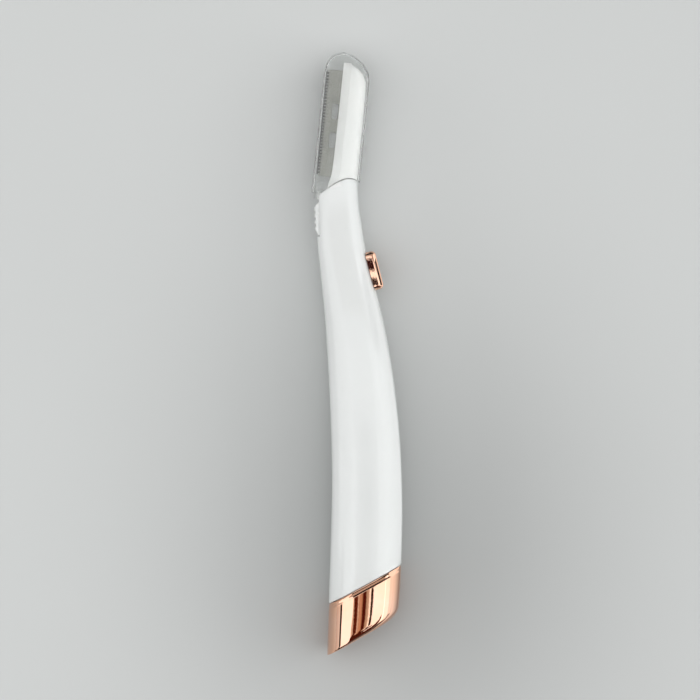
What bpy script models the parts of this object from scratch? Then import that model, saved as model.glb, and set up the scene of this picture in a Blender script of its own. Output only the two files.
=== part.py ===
"""Lighted eyebrow and face razor: a curved wand with a clear-capped blade head, a slide switch,
a ribbed release button, a small lamp beside the blade and one AAA cell behind a slanted end cap.

The wand lies on its side. +Y runs toward the blade, +X toward the spine, +Z up from the table,
and the mid-plane, where the two halves of the handle meet, is half a thickness above the table.
"""

import math

import bmesh
import bpy
from mathutils import Matrix, Vector

# Handle, metres. Each station is (distance along Y, value).
HALF_THICKNESS = 0.0076
NECK_HALF_THICKNESS = 0.0046
NECK_LENGTH = 0.046
NECK_START = 0.020
BELLY_LINE = ((-0.064, -0.01045), (-0.040, -0.00968), (-0.014, -0.00906), (0.010, -0.00972),
              (0.0305, -0.01095), (0.051, -0.01298), (0.060, -0.01345), (0.072, -0.0136))
SPINE_LINE = ((-0.066, 0.0066), (-0.0545, 0.0078), (-0.050, 0.00897), (-0.044, 0.0096),
              (-0.034, 0.01003), (-0.0185, 0.01026), (-0.0015, 0.0095), (0.0142, 0.0078),
              (0.027, 0.0056), (0.0365, 0.00345), (0.0492, 0.00022), (0.0562, -0.00095),
              (0.0625, -0.00184), (0.072, -0.0021))
FLAT_SHARE = 0.30
WALL = 0.0012
PARTING_GAP = 0.00012
HANDLE_TOP_LINE = ((-0.0175, 0.0608), (-0.0119, 0.0647), (-0.00793, 0.0673), (-0.00585, 0.0682),
                   (-0.0042, 0.06845), (-0.00273, 0.06822), (-0.00167, 0.0675), (0.002, 0.0640))

# End cap
SEAM_HEIGHT = -0.04225
SEAM_TILT = math.radians(28.5)
SEAM_GAP = 0.0003
FOOT_HEIGHT = -0.0559
FOOT_TILT = math.radians(29.3)
CAP_WALL = 0.0012
CAP_FLOOR = 0.0014
PLUG_CLEARANCE = 0.0003
PLUG_DEPTH = 0.0050
PLUG_BLANK_FOOT = -0.066
PLUG_BLANK_RISE = 0.012
FOOT_ROUND_BELLY = 0.0004
FOOT_ROUND_SPINE = 0.0016
RIM_BELOW = 0.0010
RIM_DRAW = 0.00028
GROOVE_WIDTH = 0.00024
GROOVE_DEPTH = 0.00014
CONTACT_FLOOR_GAP = 0.0012

# AAA cell and its contacts
CELL_RADIUS = 0.00525
CELL_LENGTH = 0.0445
CELL_NUB_RADIUS = 0.0019
CELL_NUB_HEIGHT = 0.0011
CELL_X = 0.0001
CELL_FOOT = -0.0467
CELL_CLEARANCE = 0.0003
TUBE_WALL = 0.0006
CONTACT_THICKNESS = 0.0004
CONTACT_GAP = 0.0002
TOP_CONTACT_HALF_WIDTH = 0.0040
SPRING_TURNS = 2.5
SPRING_WIRE = 0.0004
STRIP_WIDTH = 0.0036
STRIP_THICKNESS = 0.0003

# Spine switch
SWITCH_AT = (0.00215, 0.0435)
SPINE_TILT = math.radians(14.3)
BUTTON_LENGTH = 0.0107
BUTTON_WIDTH = 0.0064
BUTTON_PROUD = 0.0019
BUTTON_SEAT = 0.00025
BUTTON_CORNER = 0.0012
BUTTON_FOOT = -0.0016
BUTTON_STEM_LENGTH = 0.0040
BUTTON_STEM_WIDTH = 0.0024
SWITCH_TRAVEL = 0.0020
SWITCH_CASE = (0.0028, 0.0068, 0.0032)
LEVER = (0.0020, 0.0013, 0.0012)

# Circuit board, set parallel to the mid-plane
BOARD_WIDTH = 0.0066
BOARD_LENGTH = 0.0260
BOARD_INSET = 0.0036
BOARD_THICKNESS = 0.0010
BOARD_SHIFT = -0.0020
BOARD_TOP = -0.0016
BOARD_SCREW_INSET = 0.0018
BOARD_SCREW_SIDE = 0.0019
BOOST_CHIP = (0.0028, 0.0030, 0.0011)
COIL_ALONG = -0.0026
COIL_ACROSS = -0.0008
COIL_RADIUS = 0.0019
COIL_HEIGHT = 0.0026
COIL_GAP = 0.0008
SMALL_PART_LENGTH = 0.0020
SMALL_PART_GAP = 0.0002
WIRE_PAD_INSET = 0.0014
LAMP_PAD_INSETS = (0.0008, 0.0016)
SCREW_RADIUS = 0.00055
SCREW_HEAD_RADIUS = 0.0011
SCREW_HEAD_HEIGHT = 0.0007
SCREW_LENGTH = 0.0026
SCREW_CLEARANCE = 0.0002
BOSS_RADIUS = 0.0014
WIRE_RADIUS = 0.00022

# Wire routes between their ends: X, height, and place across the mid-plane. The cell wires' heights
# count from the bulkhead.
CELL_WIRE_1_ROUTE = ((0.0003, 0.0035, 0.0), (0.0018, 0.0073, 0.0004), (0.0020, 0.0143, 0.0004),
                     (0.0017, 0.0218, 0.0002))
CELL_WIRE_2_ROUTE = ((0.0062, 0.0065, 0.0002), (0.0050, 0.0133, 0.0002), (0.0038, 0.0213, 0.0),
                     (0.0024, 0.0268, -0.0006))
CELL_WIRE_PADS = (-0.0060, -0.0046)
STRIP_RISE = 0.0022
LAMP_WIRE_1_ROUTE = ((-0.0086, 0.0524, -0.0006), (-0.0089, 0.0536, 0.0010), (-0.0092, 0.0552, 0.0022),
                     (-0.0094, 0.0572, 0.0029), (-0.0095, 0.0595, 0.00295), (-0.0098, 0.0613, 0.0028),
                     (-0.0109, 0.0623, 0.0019))
LAMP_WIRE_2_ROUTE = ((-0.0099, 0.0516, -0.0010), (-0.0101, 0.0530, -0.0015), (-0.0101, 0.0553, -0.0023),
                     (-0.0098, 0.0572, -0.0029), (-0.0096, 0.0595, -0.00295), (-0.0098, 0.0613, -0.0028),
                     (-0.0109, 0.0623, -0.0019))
LAMP_WIRE_PADS = (-0.0084, -0.0094)
LAMP_WIRE_END = (-0.0120, 0.0627, 0.0005)

# Blade head. Its own frame has +Y along the head and its origin at the handle's mouth.
HEAD_AT = (-0.00796, 0.06646)
HEAD_TILT = math.radians(-5.5)
STEM_LEFT = -0.0013
STEM_WIDTH = 0.0042
STEM_DEPTH = 0.0028
STEM_LENGTH = 0.0092
STEM_CLEARANCE = 0.00018
SOCKET_WALL = 0.0006
SOCKET_INSET = 0.0006
MOUTH_GAP = 0.0003
LATCH_V = -0.0057
LATCH_HALF_WIDTH = 0.0007
LATCH_REACH = 0.0030
LATCH_ROOM = 0.0003
LATCH_NOTCH = 0.0005
SOCKET_FLOOR = 0.0008
HOLDER_BACK = ((-0.006, 0.0058), (0.002, 0.00568), (0.0285, 0.00535), (0.0310, 0.00435),
               (0.0325, 0.0032), (0.0336, 0.0012), (0.0342, -0.0004))
HOLDER_FRONT = ((-0.006, -0.0030), (0.000, -0.0023), (0.003, -0.00155), (0.010, -0.00128),
                (0.0342, -0.00105))
HOLDER_TOP = 0.0340
HOLDER_DEPTH = ((-0.006, 0.0034), (0.0290, 0.0034), (0.0318, 0.0030), (0.0333, 0.0023), (0.0342, 0.0013))
HOLDER_FRONT_HALF_DEPTH = 0.0011
HOLDER_FACET = 0.0022
BLADE_EDGE = -0.00520
BLADE_BACK = 0.0010
BLADE_FOOT = 0.0026
BLADE_TIP = 0.0318
BLADE_THICKNESS = 0.0003
BLADE_BEVEL = 0.0013
BLADE_SLOT = (0.0017, 0.0042)
BLADE_SLOT_HEIGHTS = (0.0126, 0.0205)
BLADE_SLOT_SHIFT = -0.00225
BLADE_SEAT = 0.0002
GUARD_WIDTH = 0.0011
GUARD_HALF_DEPTH = 0.00048
GUARD_PITCH = 0.00115
GUARD_TOOTH = 0.00042
GUARD_RAIL = 0.00035
GUARD_PROUD = 0.00022

# Clear protective cap, in the head's frame
CAP_TOP = 0.0369
CAP_LEFT = ((-0.006, -0.00652), (0.028, -0.00622), (0.0322, -0.00608), (0.0342, -0.0055),
            (0.0355, -0.0046), (0.0364, -0.0032), (0.0369, -0.0014))
CAP_RIGHT = ((-0.006, 0.0066), (0.002, 0.0064), (0.0285, 0.00615), (0.0312, 0.0059),
             (0.0326, 0.0053), (0.0342, 0.0041), (0.0355, 0.0025), (0.0364, 0.0009), (0.0369, -0.0012))
CAP_DEPTH = ((-0.006, 0.0050), (0.0285, 0.0046), (0.0322, 0.0042), (0.0342, 0.0036),
             (0.0355, 0.0028), (0.0364, 0.0018), (0.0369, 0.0004))
CLEAR_WALL = 0.0005
CLEAR_RIM_HEIGHT = 0.0649
CLEAR_RIM_GAP = 0.0003

# Lamp and its lens, in the head's frame
LENS_SHIFT = -0.00412
LENS_RADIUS = 0.00168
LENS_TOP = 0.0014
LENS_FOOT = -0.0037
LENS_BORE = 0.0009
LAMP_RADIUS = 0.00065

# Release button on the belly, a rocker about a pin across the handle
SLOT_START = 0.0528
SLOT_HALF_WIDTH = 0.00295
RELEASE_START = 0.0533
RELEASE_END = 0.0622
RELEASE_HALF_WIDTH = 0.00265
RELEASE_PROUD = 0.00005
RELEASE_THICKNESS = 0.0016
RELEASE_RIBS = 4
RIB_PITCH = 0.00178
RIB_HEIGHT = 0.00045
PIVOT_Y = 0.0581
PIVOT_INSET = 0.00165
PIN_RADIUS = 0.0003
PIN_LENGTH = 0.0064
PIN_CLEARANCE = 0.00015
PIN_END_GAP = 0.00005
BOSS_WALL = 0.0003
RELEASE_SPRING_Y = 0.0553
RELEASE_SPRING_RADIUS = 0.0008
RELEASE_SPRING_WIRE = 0.00028
RELEASE_SPRING_LENGTH = 0.0020
RELEASE_SPRING_TURNS = 2.5

RINGS = 22
ARC_POINTS = 13


def clear_scene():
    for obj in list(bpy.data.objects):
        bpy.data.objects.remove(obj, do_unlink=True)


def new_collection(name):
    group = bpy.data.collections.new(name)
    bpy.context.scene.collection.children.link(group)
    return group


clear_scene()
PARTS = new_collection("lighted_razor")
CUTTERS = new_collection("cutters")


def new_material(name, color, roughness, metallic=0.0, transmission=0.0):
    material = bpy.data.materials.new(name)
    material.use_nodes = True
    shader = material.node_tree.nodes["Principled BSDF"]
    shader.inputs["Base Color"].default_value = (*color, 1.0)
    shader.inputs["Roughness"].default_value = roughness
    shader.inputs["Metallic"].default_value = metallic
    shader.inputs["Transmission Weight"].default_value = transmission
    material.diffuse_color = (*color, 1.0)
    return material


def new_empty(name, location, rotation=(0, 0, 0), parent=None):
    empty = bpy.data.objects.new(name, None)
    empty.location = location
    empty.rotation_euler = rotation
    empty.parent = parent
    PARTS.objects.link(empty)
    return empty


MID_PLANE = new_empty("mid_plane", (0, 0, HALF_THICKNESS))
HEAD = new_empty("head_axis", (*HEAD_AT, 0), (0, 0, HEAD_TILT), MID_PLANE)
SWITCH = new_empty("switch_axis", (*SWITCH_AT, 0), (0, 0, SPINE_TILT), MID_PLANE)


def add_object(name, mesh, material=None, parent=MID_PLANE, location=(0, 0, 0), rotation=(0, 0, 0)):
    """A sub-part when it has a material, otherwise a cutter, which isn't part of the model."""
    obj = bpy.data.objects.new(name, mesh)
    obj.parent = parent
    obj.location = location
    obj.rotation_euler = rotation
    if material:
        mesh.materials.append(material)
        mesh.shade_smooth()
        mesh.set_sharp_from_angle(angle=math.radians(35))
        PARTS.objects.link(obj)
    else:
        CUTTERS.objects.link(obj)
        obj.hide_render = True
        obj.display_type = "WIRE"
    return obj


def mesh_from(name, work):
    mesh = bpy.data.meshes.new(name)
    work.to_mesh(mesh)
    work.free()
    return mesh


def box_mesh(name, low, high):
    work = bmesh.new()
    bmesh.ops.create_cube(work, size=1)
    size = [high[i] - low[i] for i in range(3)]
    centre = [(high[i] + low[i]) / 2 for i in range(3)]
    bmesh.ops.scale(work, vec=size, verts=work.verts)
    bmesh.ops.translate(work, vec=centre, verts=work.verts)
    return mesh_from(name, work)


def cylinder_mesh(name, radius, length, segments=20, top_radius=None):
    """A cylinder along its own Z, centred on its origin."""
    work = bmesh.new()
    top = radius if top_radius is None else top_radius
    bmesh.ops.create_cone(work, cap_ends=True, segments=segments, radius1=radius,
                          radius2=top, depth=length)
    return mesh_from(name, work)


def prism_mesh(name, outline, low, high):
    """An outline in the XY plane, raised from low to high."""
    work = bmesh.new()
    base = work.faces.new([work.verts.new((x, y, low)) for x, y in outline])
    raised = bmesh.ops.extrude_face_region(work, geom=[base])
    moved = [v for v in raised["geom"] if isinstance(v, bmesh.types.BMVert)]
    bmesh.ops.translate(work, vec=(0, 0, high - low), verts=moved)
    bmesh.ops.recalc_face_normals(work, faces=work.faces)
    return mesh_from(name, work)


def loft_mesh(name, rings):
    """A closed solid through rings that hold the same number of points."""
    work = bmesh.new()
    rows = [[work.verts.new(point) for point in ring] for ring in rings]
    count = len(rows[0])
    for lower, upper in zip(rows, rows[1:]):
        for i in range(count):
            j = (i + 1) % count
            work.faces.new((lower[i], lower[j], upper[j], upper[i]))
    work.faces.new(reversed(rows[0]))
    work.faces.new(rows[-1])
    bmesh.ops.recalc_face_normals(work, faces=work.faces)
    return mesh_from(name, work)


def turned(name, profile, material, segments=20, **place):
    """A solid turned about its own Z from (radius, height) points, listed from top to bottom."""
    work = bmesh.new()
    points = [work.verts.new((radius, 0, height)) for radius, height in profile]
    for first, second in zip(points, points[1:]):
        work.edges.new((first, second))
    obj = add_object(name, mesh_from(name, work), material, **place)
    screw = obj.modifiers.new("turn", "SCREW")
    screw.steps = segments
    screw.render_steps = segments
    screw.use_merge_vertices = True
    screw.merge_threshold = 0.00001
    screw.use_smooth_shade = True
    return obj


def combine(obj, other, operation):
    modifier = obj.modifiers.new(operation.lower(), "BOOLEAN")
    modifier.operation = operation
    modifier.solver = "EXACT"
    modifier.object = other


def cut(obj, *cutters):
    for cutter in cutters:
        combine(obj, cutter, "DIFFERENCE")


def join(obj, *others):
    for other in others:
        combine(obj, other, "UNION")


def round_edges(obj, width, segments=2, angle=40):
    bevel = obj.modifiers.new("edges", "BEVEL")
    bevel.width = width
    bevel.segments = segments
    bevel.limit_method = "ANGLE"
    bevel.angle_limit = math.radians(angle)


def smooth(stations, at):
    """Reads a value from the smooth curve through (distance, value) stations."""
    places = [s[0] for s in stations]
    values = [s[1] for s in stations]
    at = min(max(at, places[0]), places[-1])
    k = max(i for i in range(len(places) - 1) if places[i] <= at or i == 0)
    slopes = []
    for i in range(len(places)):
        low = max(i - 1, 0)
        high = min(i + 1, len(places) - 1)
        slopes.append((values[high] - values[low]) / (places[high] - places[low]))
    span = places[k + 1] - places[k]
    t = (at - places[k]) / span
    start = (2 * t ** 3 - 3 * t ** 2 + 1) * values[k] + (t ** 3 - 2 * t ** 2 + t) * span * slopes[k]
    end = (3 * t ** 2 - 2 * t ** 3) * values[k + 1] + (t ** 3 - t ** 2) * span * slopes[k + 1]
    return start + end


def half_thickness(y):
    """Even along the grip, then drawn in toward the neck on a smooth step."""
    t = min(max((y - NECK_START) / NECK_LENGTH, 0), 1)
    return HALF_THICKNESS + (NECK_HALF_THICKNESS - HALF_THICKNESS) * t * t * (3 - 2 * t)


def arc(y, inset=0.0, points=ARC_POINTS, lift=0.0):
    """Half a section at y, from the spine over the crown to the belly, drawn in by inset.

    The crown has a flat strip in its middle, and both sides are quarter ellipses.
    """
    left = smooth(BELLY_LINE, y) + inset
    right = smooth(SPINE_LINE, y) - inset
    middle = (left + right) / 2
    half_width = (right - left) / 2
    height = half_thickness(y) - inset - lift
    flat = FLAT_SHARE * half_width
    found = []
    for i in range(points):
        angle = math.pi * i / (points - 1)
        reach = (half_width - flat) * math.cos(angle)
        side = flat if i < points // 2 else -flat
        if i == points // 2:
            found.append((middle + flat, y, lift + height))
            found.append((middle - flat, y, lift + height))
        else:
            found.append((middle + side + reach, y, lift + height * math.sin(angle)))
    return found


def full_section(y, inset=0.0, points=ARC_POINTS):
    upper = arc(y, inset, points)
    lower = [(x, at, -z) for x, at, z in reversed(upper[1:-1])]
    return upper + lower


def spread(low, high, count):
    return [low + (high - low) * i / (count - 1) for i in range(count)]


def tilted_block(name, height, tilt, above, shift=0.0):
    """A cutter block whose face is a slanted plane through the Y axis at this height."""
    reach = 0.06
    low = (-reach, 0, -reach) if above else (-reach, -reach, -reach)
    high = (reach, reach, reach) if above else (reach, 0, reach)
    return add_object(name, box_mesh(name, low, high), location=(0, height + shift, 0),
                      rotation=(0, 0, tilt))


def mouth_outline(lift, flat_below=None):
    """The curved shoulder of the handle, closed far above it."""
    low, high = HANDLE_TOP_LINE[0][0], HANDLE_TOP_LINE[-1][0]
    line = []
    for x in spread(low, high, 26):
        y = smooth(HANDLE_TOP_LINE, x) + lift
        line.append((x, y if flat_below is None else max(y, flat_below)))
    return line


WHITE = (0.80, 0.81, 0.80)
ROSE_GOLD = (0.86, 0.50, 0.36)
WHITE_PLASTIC = new_material("gloss_white_plastic", WHITE, 0.18)
INNER_PLASTIC = new_material("satin_white_plastic", (0.72, 0.73, 0.72), 0.45)
PLATED = new_material("rose_gold_plating", ROSE_GOLD, 0.10, metallic=1.0)
CLEAR = new_material("clear_plastic", (0.92, 0.93, 0.92), 0.06, transmission=0.9)
STEEL = new_material("blade_steel", (0.46, 0.47, 0.45), 0.28, metallic=1.0)
SPRING_STEEL = new_material("spring_steel", (0.60, 0.60, 0.58), 0.30, metallic=1.0)
BOARD_GREEN = new_material("board_green", (0.04, 0.20, 0.10), 0.50)
BLACK_PLASTIC = new_material("black_plastic", (0.03, 0.03, 0.03), 0.50)
COPPER = new_material("copper", (0.62, 0.30, 0.16), 0.35, metallic=1.0)
CELL_JACKET = new_material("cell_jacket", (0.10, 0.14, 0.22), 0.35)
RED_WIRE = new_material("red_wire", (0.50, 0.04, 0.03), 0.50)
BLACK_WIRE = new_material("black_wire", (0.03, 0.03, 0.03), 0.50)

# Heights along the cell that several pieces share
CELL_TOP = CELL_FOOT + CELL_LENGTH
TOP_CONTACT_Y = CELL_TOP + CELL_CLEARANCE
BULKHEAD_Y = TOP_CONTACT_Y + CONTACT_THICKNESS + CONTACT_GAP
BULKHEAD_THICKNESS = 0.0012
TUBE_INNER = CELL_RADIUS + CELL_CLEARANCE
TUBE_OUTER = TUBE_INNER + TUBE_WALL
PLUG_TOP = SEAM_HEIGHT + PLUG_DEPTH
TUBE_FOOT = PLUG_TOP + 0.0006
CONTACT_FLOOR = (FOOT_HEIGHT + CELL_RADIUS * math.tan(FOOT_TILT)
                 + CAP_FLOOR / math.cos(FOOT_TILT) + CONTACT_FLOOR_GAP)
STRIP_X = CELL_X + TUBE_OUTER + 0.00035
DOWEL_PLACES = ((-0.0012, 0.0072), (-0.0016, 0.0190))
DOWEL_RADIUS = 0.0007
DOWEL_BOSS_RADIUS = 0.0017
DOWEL_DEPTH = 0.0016
DOWEL_CLEARANCE = 0.0002


def along_y(name, radius, low, high, x=CELL_X, segments=24, material=None):
    mesh = cylinder_mesh(name, radius, high - low, segments)
    return add_object(name, mesh, material, location=(x, (low + high) / 2, 0),
                      rotation=(-math.pi / 2, 0, 0))


def section_solid(name, low, high, inset, rings=8, points=ARC_POINTS):
    return loft_mesh(name, [full_section(y, inset, points) for y in spread(low, high, rings)])


def board_point(along, across):
    """A place on the board, from its middle, as x and y in the mid-plane."""
    local = Vector((across - BOARD_INSET - BOARD_WIDTH / 2, along + BOARD_SHIFT, 0))
    turn = Matrix.Rotation(SPINE_TILT, 4, "Z")
    place = turn @ local
    return (SWITCH_AT[0] + place.x, SWITCH_AT[1] + place.y)


BOARD_SCREWS = ((BOARD_SCREW_INSET - BOARD_LENGTH / 2, BOARD_SCREW_SIDE - BOARD_WIDTH / 2),
                (BOARD_LENGTH / 2 - BOARD_SCREW_INSET, BOARD_WIDTH / 2 - BOARD_SCREW_SIDE))


def shell_ring(y, side):
    lift = PARTING_GAP / 2
    outer = arc(y, 0.0, ARC_POINTS, lift)
    inner = arc(y, WALL, ARC_POINTS, lift)
    return [(x, at, side * z) for x, at, z in outer + inner[::-1]]


def build_inner_features(side, keep):
    """Ribs, the bulkhead behind the top contact, dowel bosses and the board's or spring's seats."""
    name = "left" if side > 0 else "right"
    work = bmesh.new()

    def add_box(low, high):
        piece = box_mesh("rib", low, high)
        work.from_mesh(piece)
        bpy.data.meshes.remove(piece)

    def add_post(x, y, radius, top):
        """A round post from the shell up to top, measured from the mid-plane."""
        piece = cylinder_mesh("post", radius, HALF_THICKNESS - top, 16)
        piece.transform(Matrix.Translation((x, y, side * (HALF_THICKNESS + top) / 2)))
        work.from_mesh(piece)
        bpy.data.meshes.remove(piece)

    near = PARTING_GAP / 2
    low, high = sorted((side * near, side * HALF_THICKNESS))
    for y in (TUBE_FOOT + 0.0070, BULKHEAD_Y - 0.0100):
        add_box((-0.014, y, low), (0.014, y + WALL, high))
    add_box((-0.014, BULKHEAD_Y, low), (0.014, BULKHEAD_Y + BULKHEAD_THICKNESS, high))
    for x, y in DOWEL_PLACES:
        add_post(x, y, DOWEL_BOSS_RADIUS, near)
    if side < 0:
        seat_x = smooth(BELLY_LINE, RELEASE_SPRING_Y) + RELEASE_THICKNESS + RELEASE_SPRING_LENGTH + 0.0004
        add_box((seat_x, RELEASE_SPRING_Y - 0.0009, -HALF_THICKNESS),
                (seat_x + 0.0009, RELEASE_SPRING_Y + 0.0007, 0.0010))
        for along, across in BOARD_SCREWS:
            add_post(*board_point(along, across), BOSS_RADIUS, BOARD_THICKNESS - BOARD_TOP + 0.0001)
    features = add_object(f"{name}_inner_features", mesh_from("features", work))
    combine(features, keep, "INTERSECT")
    tube_room = along_y(f"{name}_tube_room", TUBE_OUTER + CELL_CLEARANCE, -0.06, BULKHEAD_Y)
    wire_room = along_y(f"{name}_wire_room", 0.0024, BULKHEAD_Y - 0.001, BULKHEAD_Y + 0.003, x=0.0)
    strip_room = add_object(f"{name}_strip_room", box_mesh(
        "strip_room",
        (STRIP_X - 0.0003, -0.06, -STRIP_WIDTH / 2 - 0.0003),
        (STRIP_X + STRIP_THICKNESS + 0.0003, 0.004, STRIP_WIDTH / 2 + 0.0003)))
    cut(features, tube_room, wire_room, strip_room)
    return features


def build_handle_shell(side, shared):
    name = "left_handle_shell" if side > 0 else "right_handle_shell"
    rings = [shell_ring(y, side) for y in spread(-0.054, 0.0715, RINGS)]
    shell = add_object(name, loft_mesh(name, rings), WHITE_PLASTIC)
    join(shell, build_inner_features(side, shared["keep"]))
    cut(shell, shared["below_seam"], shared["above_mouth"], shared["belly_slot"], shared["spine_slot"],
        shared["pin_hole"])
    return shell


def build_shared_cutters():
    keep = add_object("shell_core", section_solid("shell_core", -0.052, 0.070, WALL / 2, RINGS))
    below_seam = tilted_block("below_seam", SEAM_HEIGHT + SEAM_GAP, SEAM_TILT, above=False)
    line = mouth_outline(0.0)
    outline = line + [(line[-1][0], 0.12), (line[0][0], 0.12)]
    above_mouth = add_object("above_mouth", prism_mesh("above_mouth", outline[::-1], -0.02, 0.02))
    belly_slot = add_object("belly_slot", box_mesh(
        "belly_slot", (-0.02, SLOT_START, -SLOT_HALF_WIDTH), (-0.0104, 0.09, SLOT_HALF_WIDTH)))
    slot_half = BUTTON_STEM_LENGTH / 2 + SWITCH_TRAVEL / 2 + 0.0003
    spine_slot = add_object("spine_slot", box_mesh(
        "spine_slot",
        (-0.004, -slot_half + SWITCH_TRAVEL / 2, -BUTTON_STEM_WIDTH / 2 - 0.0003),
        (0.004, slot_half + SWITCH_TRAVEL / 2, BUTTON_STEM_WIDTH / 2 + 0.0003)), parent=SWITCH)
    pin_hole = add_object(
        "pin_hole",
        cylinder_mesh("pin_hole", PIN_RADIUS + PIN_CLEARANCE, PIN_LENGTH + 2 * PIN_END_GAP, 14),
        location=(smooth(BELLY_LINE, PIVOT_Y) + PIVOT_INSET, PIVOT_Y, 0))
    return {"keep": keep, "below_seam": below_seam, "above_mouth": above_mouth,
            "belly_slot": belly_slot, "spine_slot": spine_slot, "pin_hole": pin_hole}


def build_handle():
    shared = build_shared_cutters()
    left = build_handle_shell(1, shared)
    right = build_handle_shell(-1, shared)
    for index, (x, y) in enumerate(DOWEL_PLACES, 1):
        dowel = add_object(f"dowel_{index}", cylinder_mesh("dowel", DOWEL_RADIUS, DOWEL_DEPTH * 2, 14),
                           location=(x, y, PARTING_GAP / 2))
        room = add_object(f"dowel_room_{index}",
                          cylinder_mesh("dowel_room", DOWEL_RADIUS + DOWEL_CLEARANCE,
                                        (DOWEL_DEPTH + DOWEL_CLEARANCE) * 2, 14),
                          location=(x, y, -PARTING_GAP / 2))
        join(left, dowel)
        cut(right, room)
    for index, (along, across) in enumerate(BOARD_SCREWS, 1):
        x, y = board_point(along, across)
        bore = add_object(f"board_boss_bore_{index}",
                          cylinder_mesh("bore", SCREW_RADIUS + SCREW_CLEARANCE, SCREW_LENGTH, 12),
                          location=(x, y, BOARD_TOP - SCREW_LENGTH / 2 - SCREW_CLEARANCE))
        cut(right, bore)


build_handle()


def slanted_ring(share, inset):
    """A section on a plane between the foot's plane and the seam's; inset is a number or goes by place.

    share runs from 0 at the foot to 1 at the seam.
    """
    height = FOOT_HEIGHT + (SEAM_HEIGHT - FOOT_HEIGHT) * share
    slope = math.tan(FOOT_TILT) * (1 - share) + math.tan(SEAM_TILT) * share
    belly, spine = smooth(BELLY_LINE, height), smooth(SPINE_LINE, height)
    found = []
    for i in range(len(full_section(height))):
        y, draw = height, 0.0
        for _ in range(6):
            x = full_section(y, draw)[i][0]
            y = height + x * slope
            draw = inset if isinstance(inset, float) else inset((x - belly) / (spine - belly))
        found.append(full_section(y, draw)[i])
    return found


def foot_inset(rise):
    """How far the rounded foot is drawn in at this rise above it; its radius grows toward the spine."""
    def at(side):
        radius = FOOT_ROUND_BELLY + (FOOT_ROUND_SPINE - FOOT_ROUND_BELLY) * min(max(side, 0), 1)
        left = max(radius - rise, 0)
        return radius - math.sqrt(radius ** 2 - left ** 2)
    return at


def build_end_cap(parent):
    """The plated shell with slanted ends, a rim line and a rounded foot, and the white plug in it."""
    tall = (SEAM_HEIGHT - FOOT_HEIGHT) * math.cos(FOOT_TILT)
    rings = [slanted_ring(rise / tall, foot_inset(rise)) for rise in (0.0, 0.0001, 0.0003, 0.0007, 0.0016)]
    groove = tall - RIM_BELOW - GROOVE_WIDTH
    rings += [slanted_ring(rise / tall, 0.0) for rise in (tall * 0.3, tall * 0.5, tall * 0.7, groove)]
    rings += [slanted_ring((groove + GROOVE_WIDTH * part) / tall, GROOVE_DEPTH) for part in (0.25, 0.75)]
    rings += [slanted_ring(1 - RIM_BELOW * part / tall, RIM_DRAW * (1 - part) ** 2) for part in (1, 0.5, 0.0)]
    inner = [1.0, 0.8, 0.6, 0.4, 0.25, CAP_FLOOR / tall]
    rings += [slanted_ring(share, CAP_WALL) for share in inner]
    shell = add_object("end_cap_shell", loft_mesh("end_cap_shell", rings), PLATED, parent=parent)

    high = SEAM_HEIGHT + PLUG_BLANK_RISE
    inset = max(WALL, CAP_WALL) + PLUG_CLEARANCE
    plug = add_object("end_cap_plug", section_solid("end_cap_plug", PLUG_BLANK_FOOT, high, inset, 12),
                      INNER_PLASTIC, parent=parent)
    plug_floor = tilted_block("plug_floor", FOOT_HEIGHT + (CAP_FLOOR + PLUG_CLEARANCE) / math.cos(FOOT_TILT),
                              FOOT_TILT, above=False)
    plug_top = tilted_block("plug_top", PLUG_TOP, SEAM_TILT, above=True)
    bore = along_y("plug_bore", TUBE_INNER, CONTACT_FLOOR, 0.0)
    channel = add_object("plug_channel", box_mesh(
        "plug_channel", (0.003, CONTACT_FLOOR, -STRIP_WIDTH / 2 - 0.0004),
        (STRIP_X + STRIP_THICKNESS + 0.0004, 0.0, STRIP_WIDTH / 2 + 0.0004)))
    cut(plug, plug_floor, plug_top, bore, channel)
    return shell, plug


def helix_points(radius, foot_radius, length, turns, per_turn=9):
    """Points along a coil about +Z, with its wire from foot to top."""
    count = int(turns * per_turn) + 1
    found = []
    for i in range(count):
        t = i / (count - 1)
        angle = 2 * math.pi * turns * t
        reach = foot_radius + (radius - foot_radius) * t
        found.append(Vector((reach * math.cos(angle), reach * math.sin(angle), length * t)))
    return found


def least_gap(points, per_turn, wire):
    """The smallest clear distance between neighbouring turns of a coil."""
    gaps = [(points[i] - points[j]).length - wire
            for i in range(len(points)) for j in range(i + per_turn // 2 + 2, len(points))]
    return min(gaps)


def tube_object(name, points, radius, material, resolution=2, **place):
    """A wire along its points, with closed ends."""
    curve = bpy.data.curves.new(name, "CURVE")
    curve.dimensions = "3D"
    curve.bevel_depth = radius
    curve.bevel_resolution = resolution
    curve.use_fill_caps = True
    spline = curve.splines.new("POLY")
    spline.points.add(len(points) - 1)
    for slot, point in zip(spline.points, points):
        slot.co = (*point, 1)
    curve.materials.append(material)
    obj = bpy.data.objects.new(name, curve)
    obj.parent = place.get("parent", MID_PLANE)
    obj.location = place.get("location", (0, 0, 0))
    obj.rotation_euler = place.get("rotation", (0, 0, 0))
    PARTS.objects.link(obj)
    return obj


def coil_spring(name, radius, foot_radius, length, turns, wire, **place):
    points = helix_points(radius, foot_radius, length - wire, turns)
    print(f"{name}: least gap between turns {least_gap(points, 9, wire) * 1000:.2f} mm")
    points = [point + Vector((0, 0, wire / 2)) for point in points]
    return tube_object(name, points, wire / 2, SPRING_STEEL, 1, **place)


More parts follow.
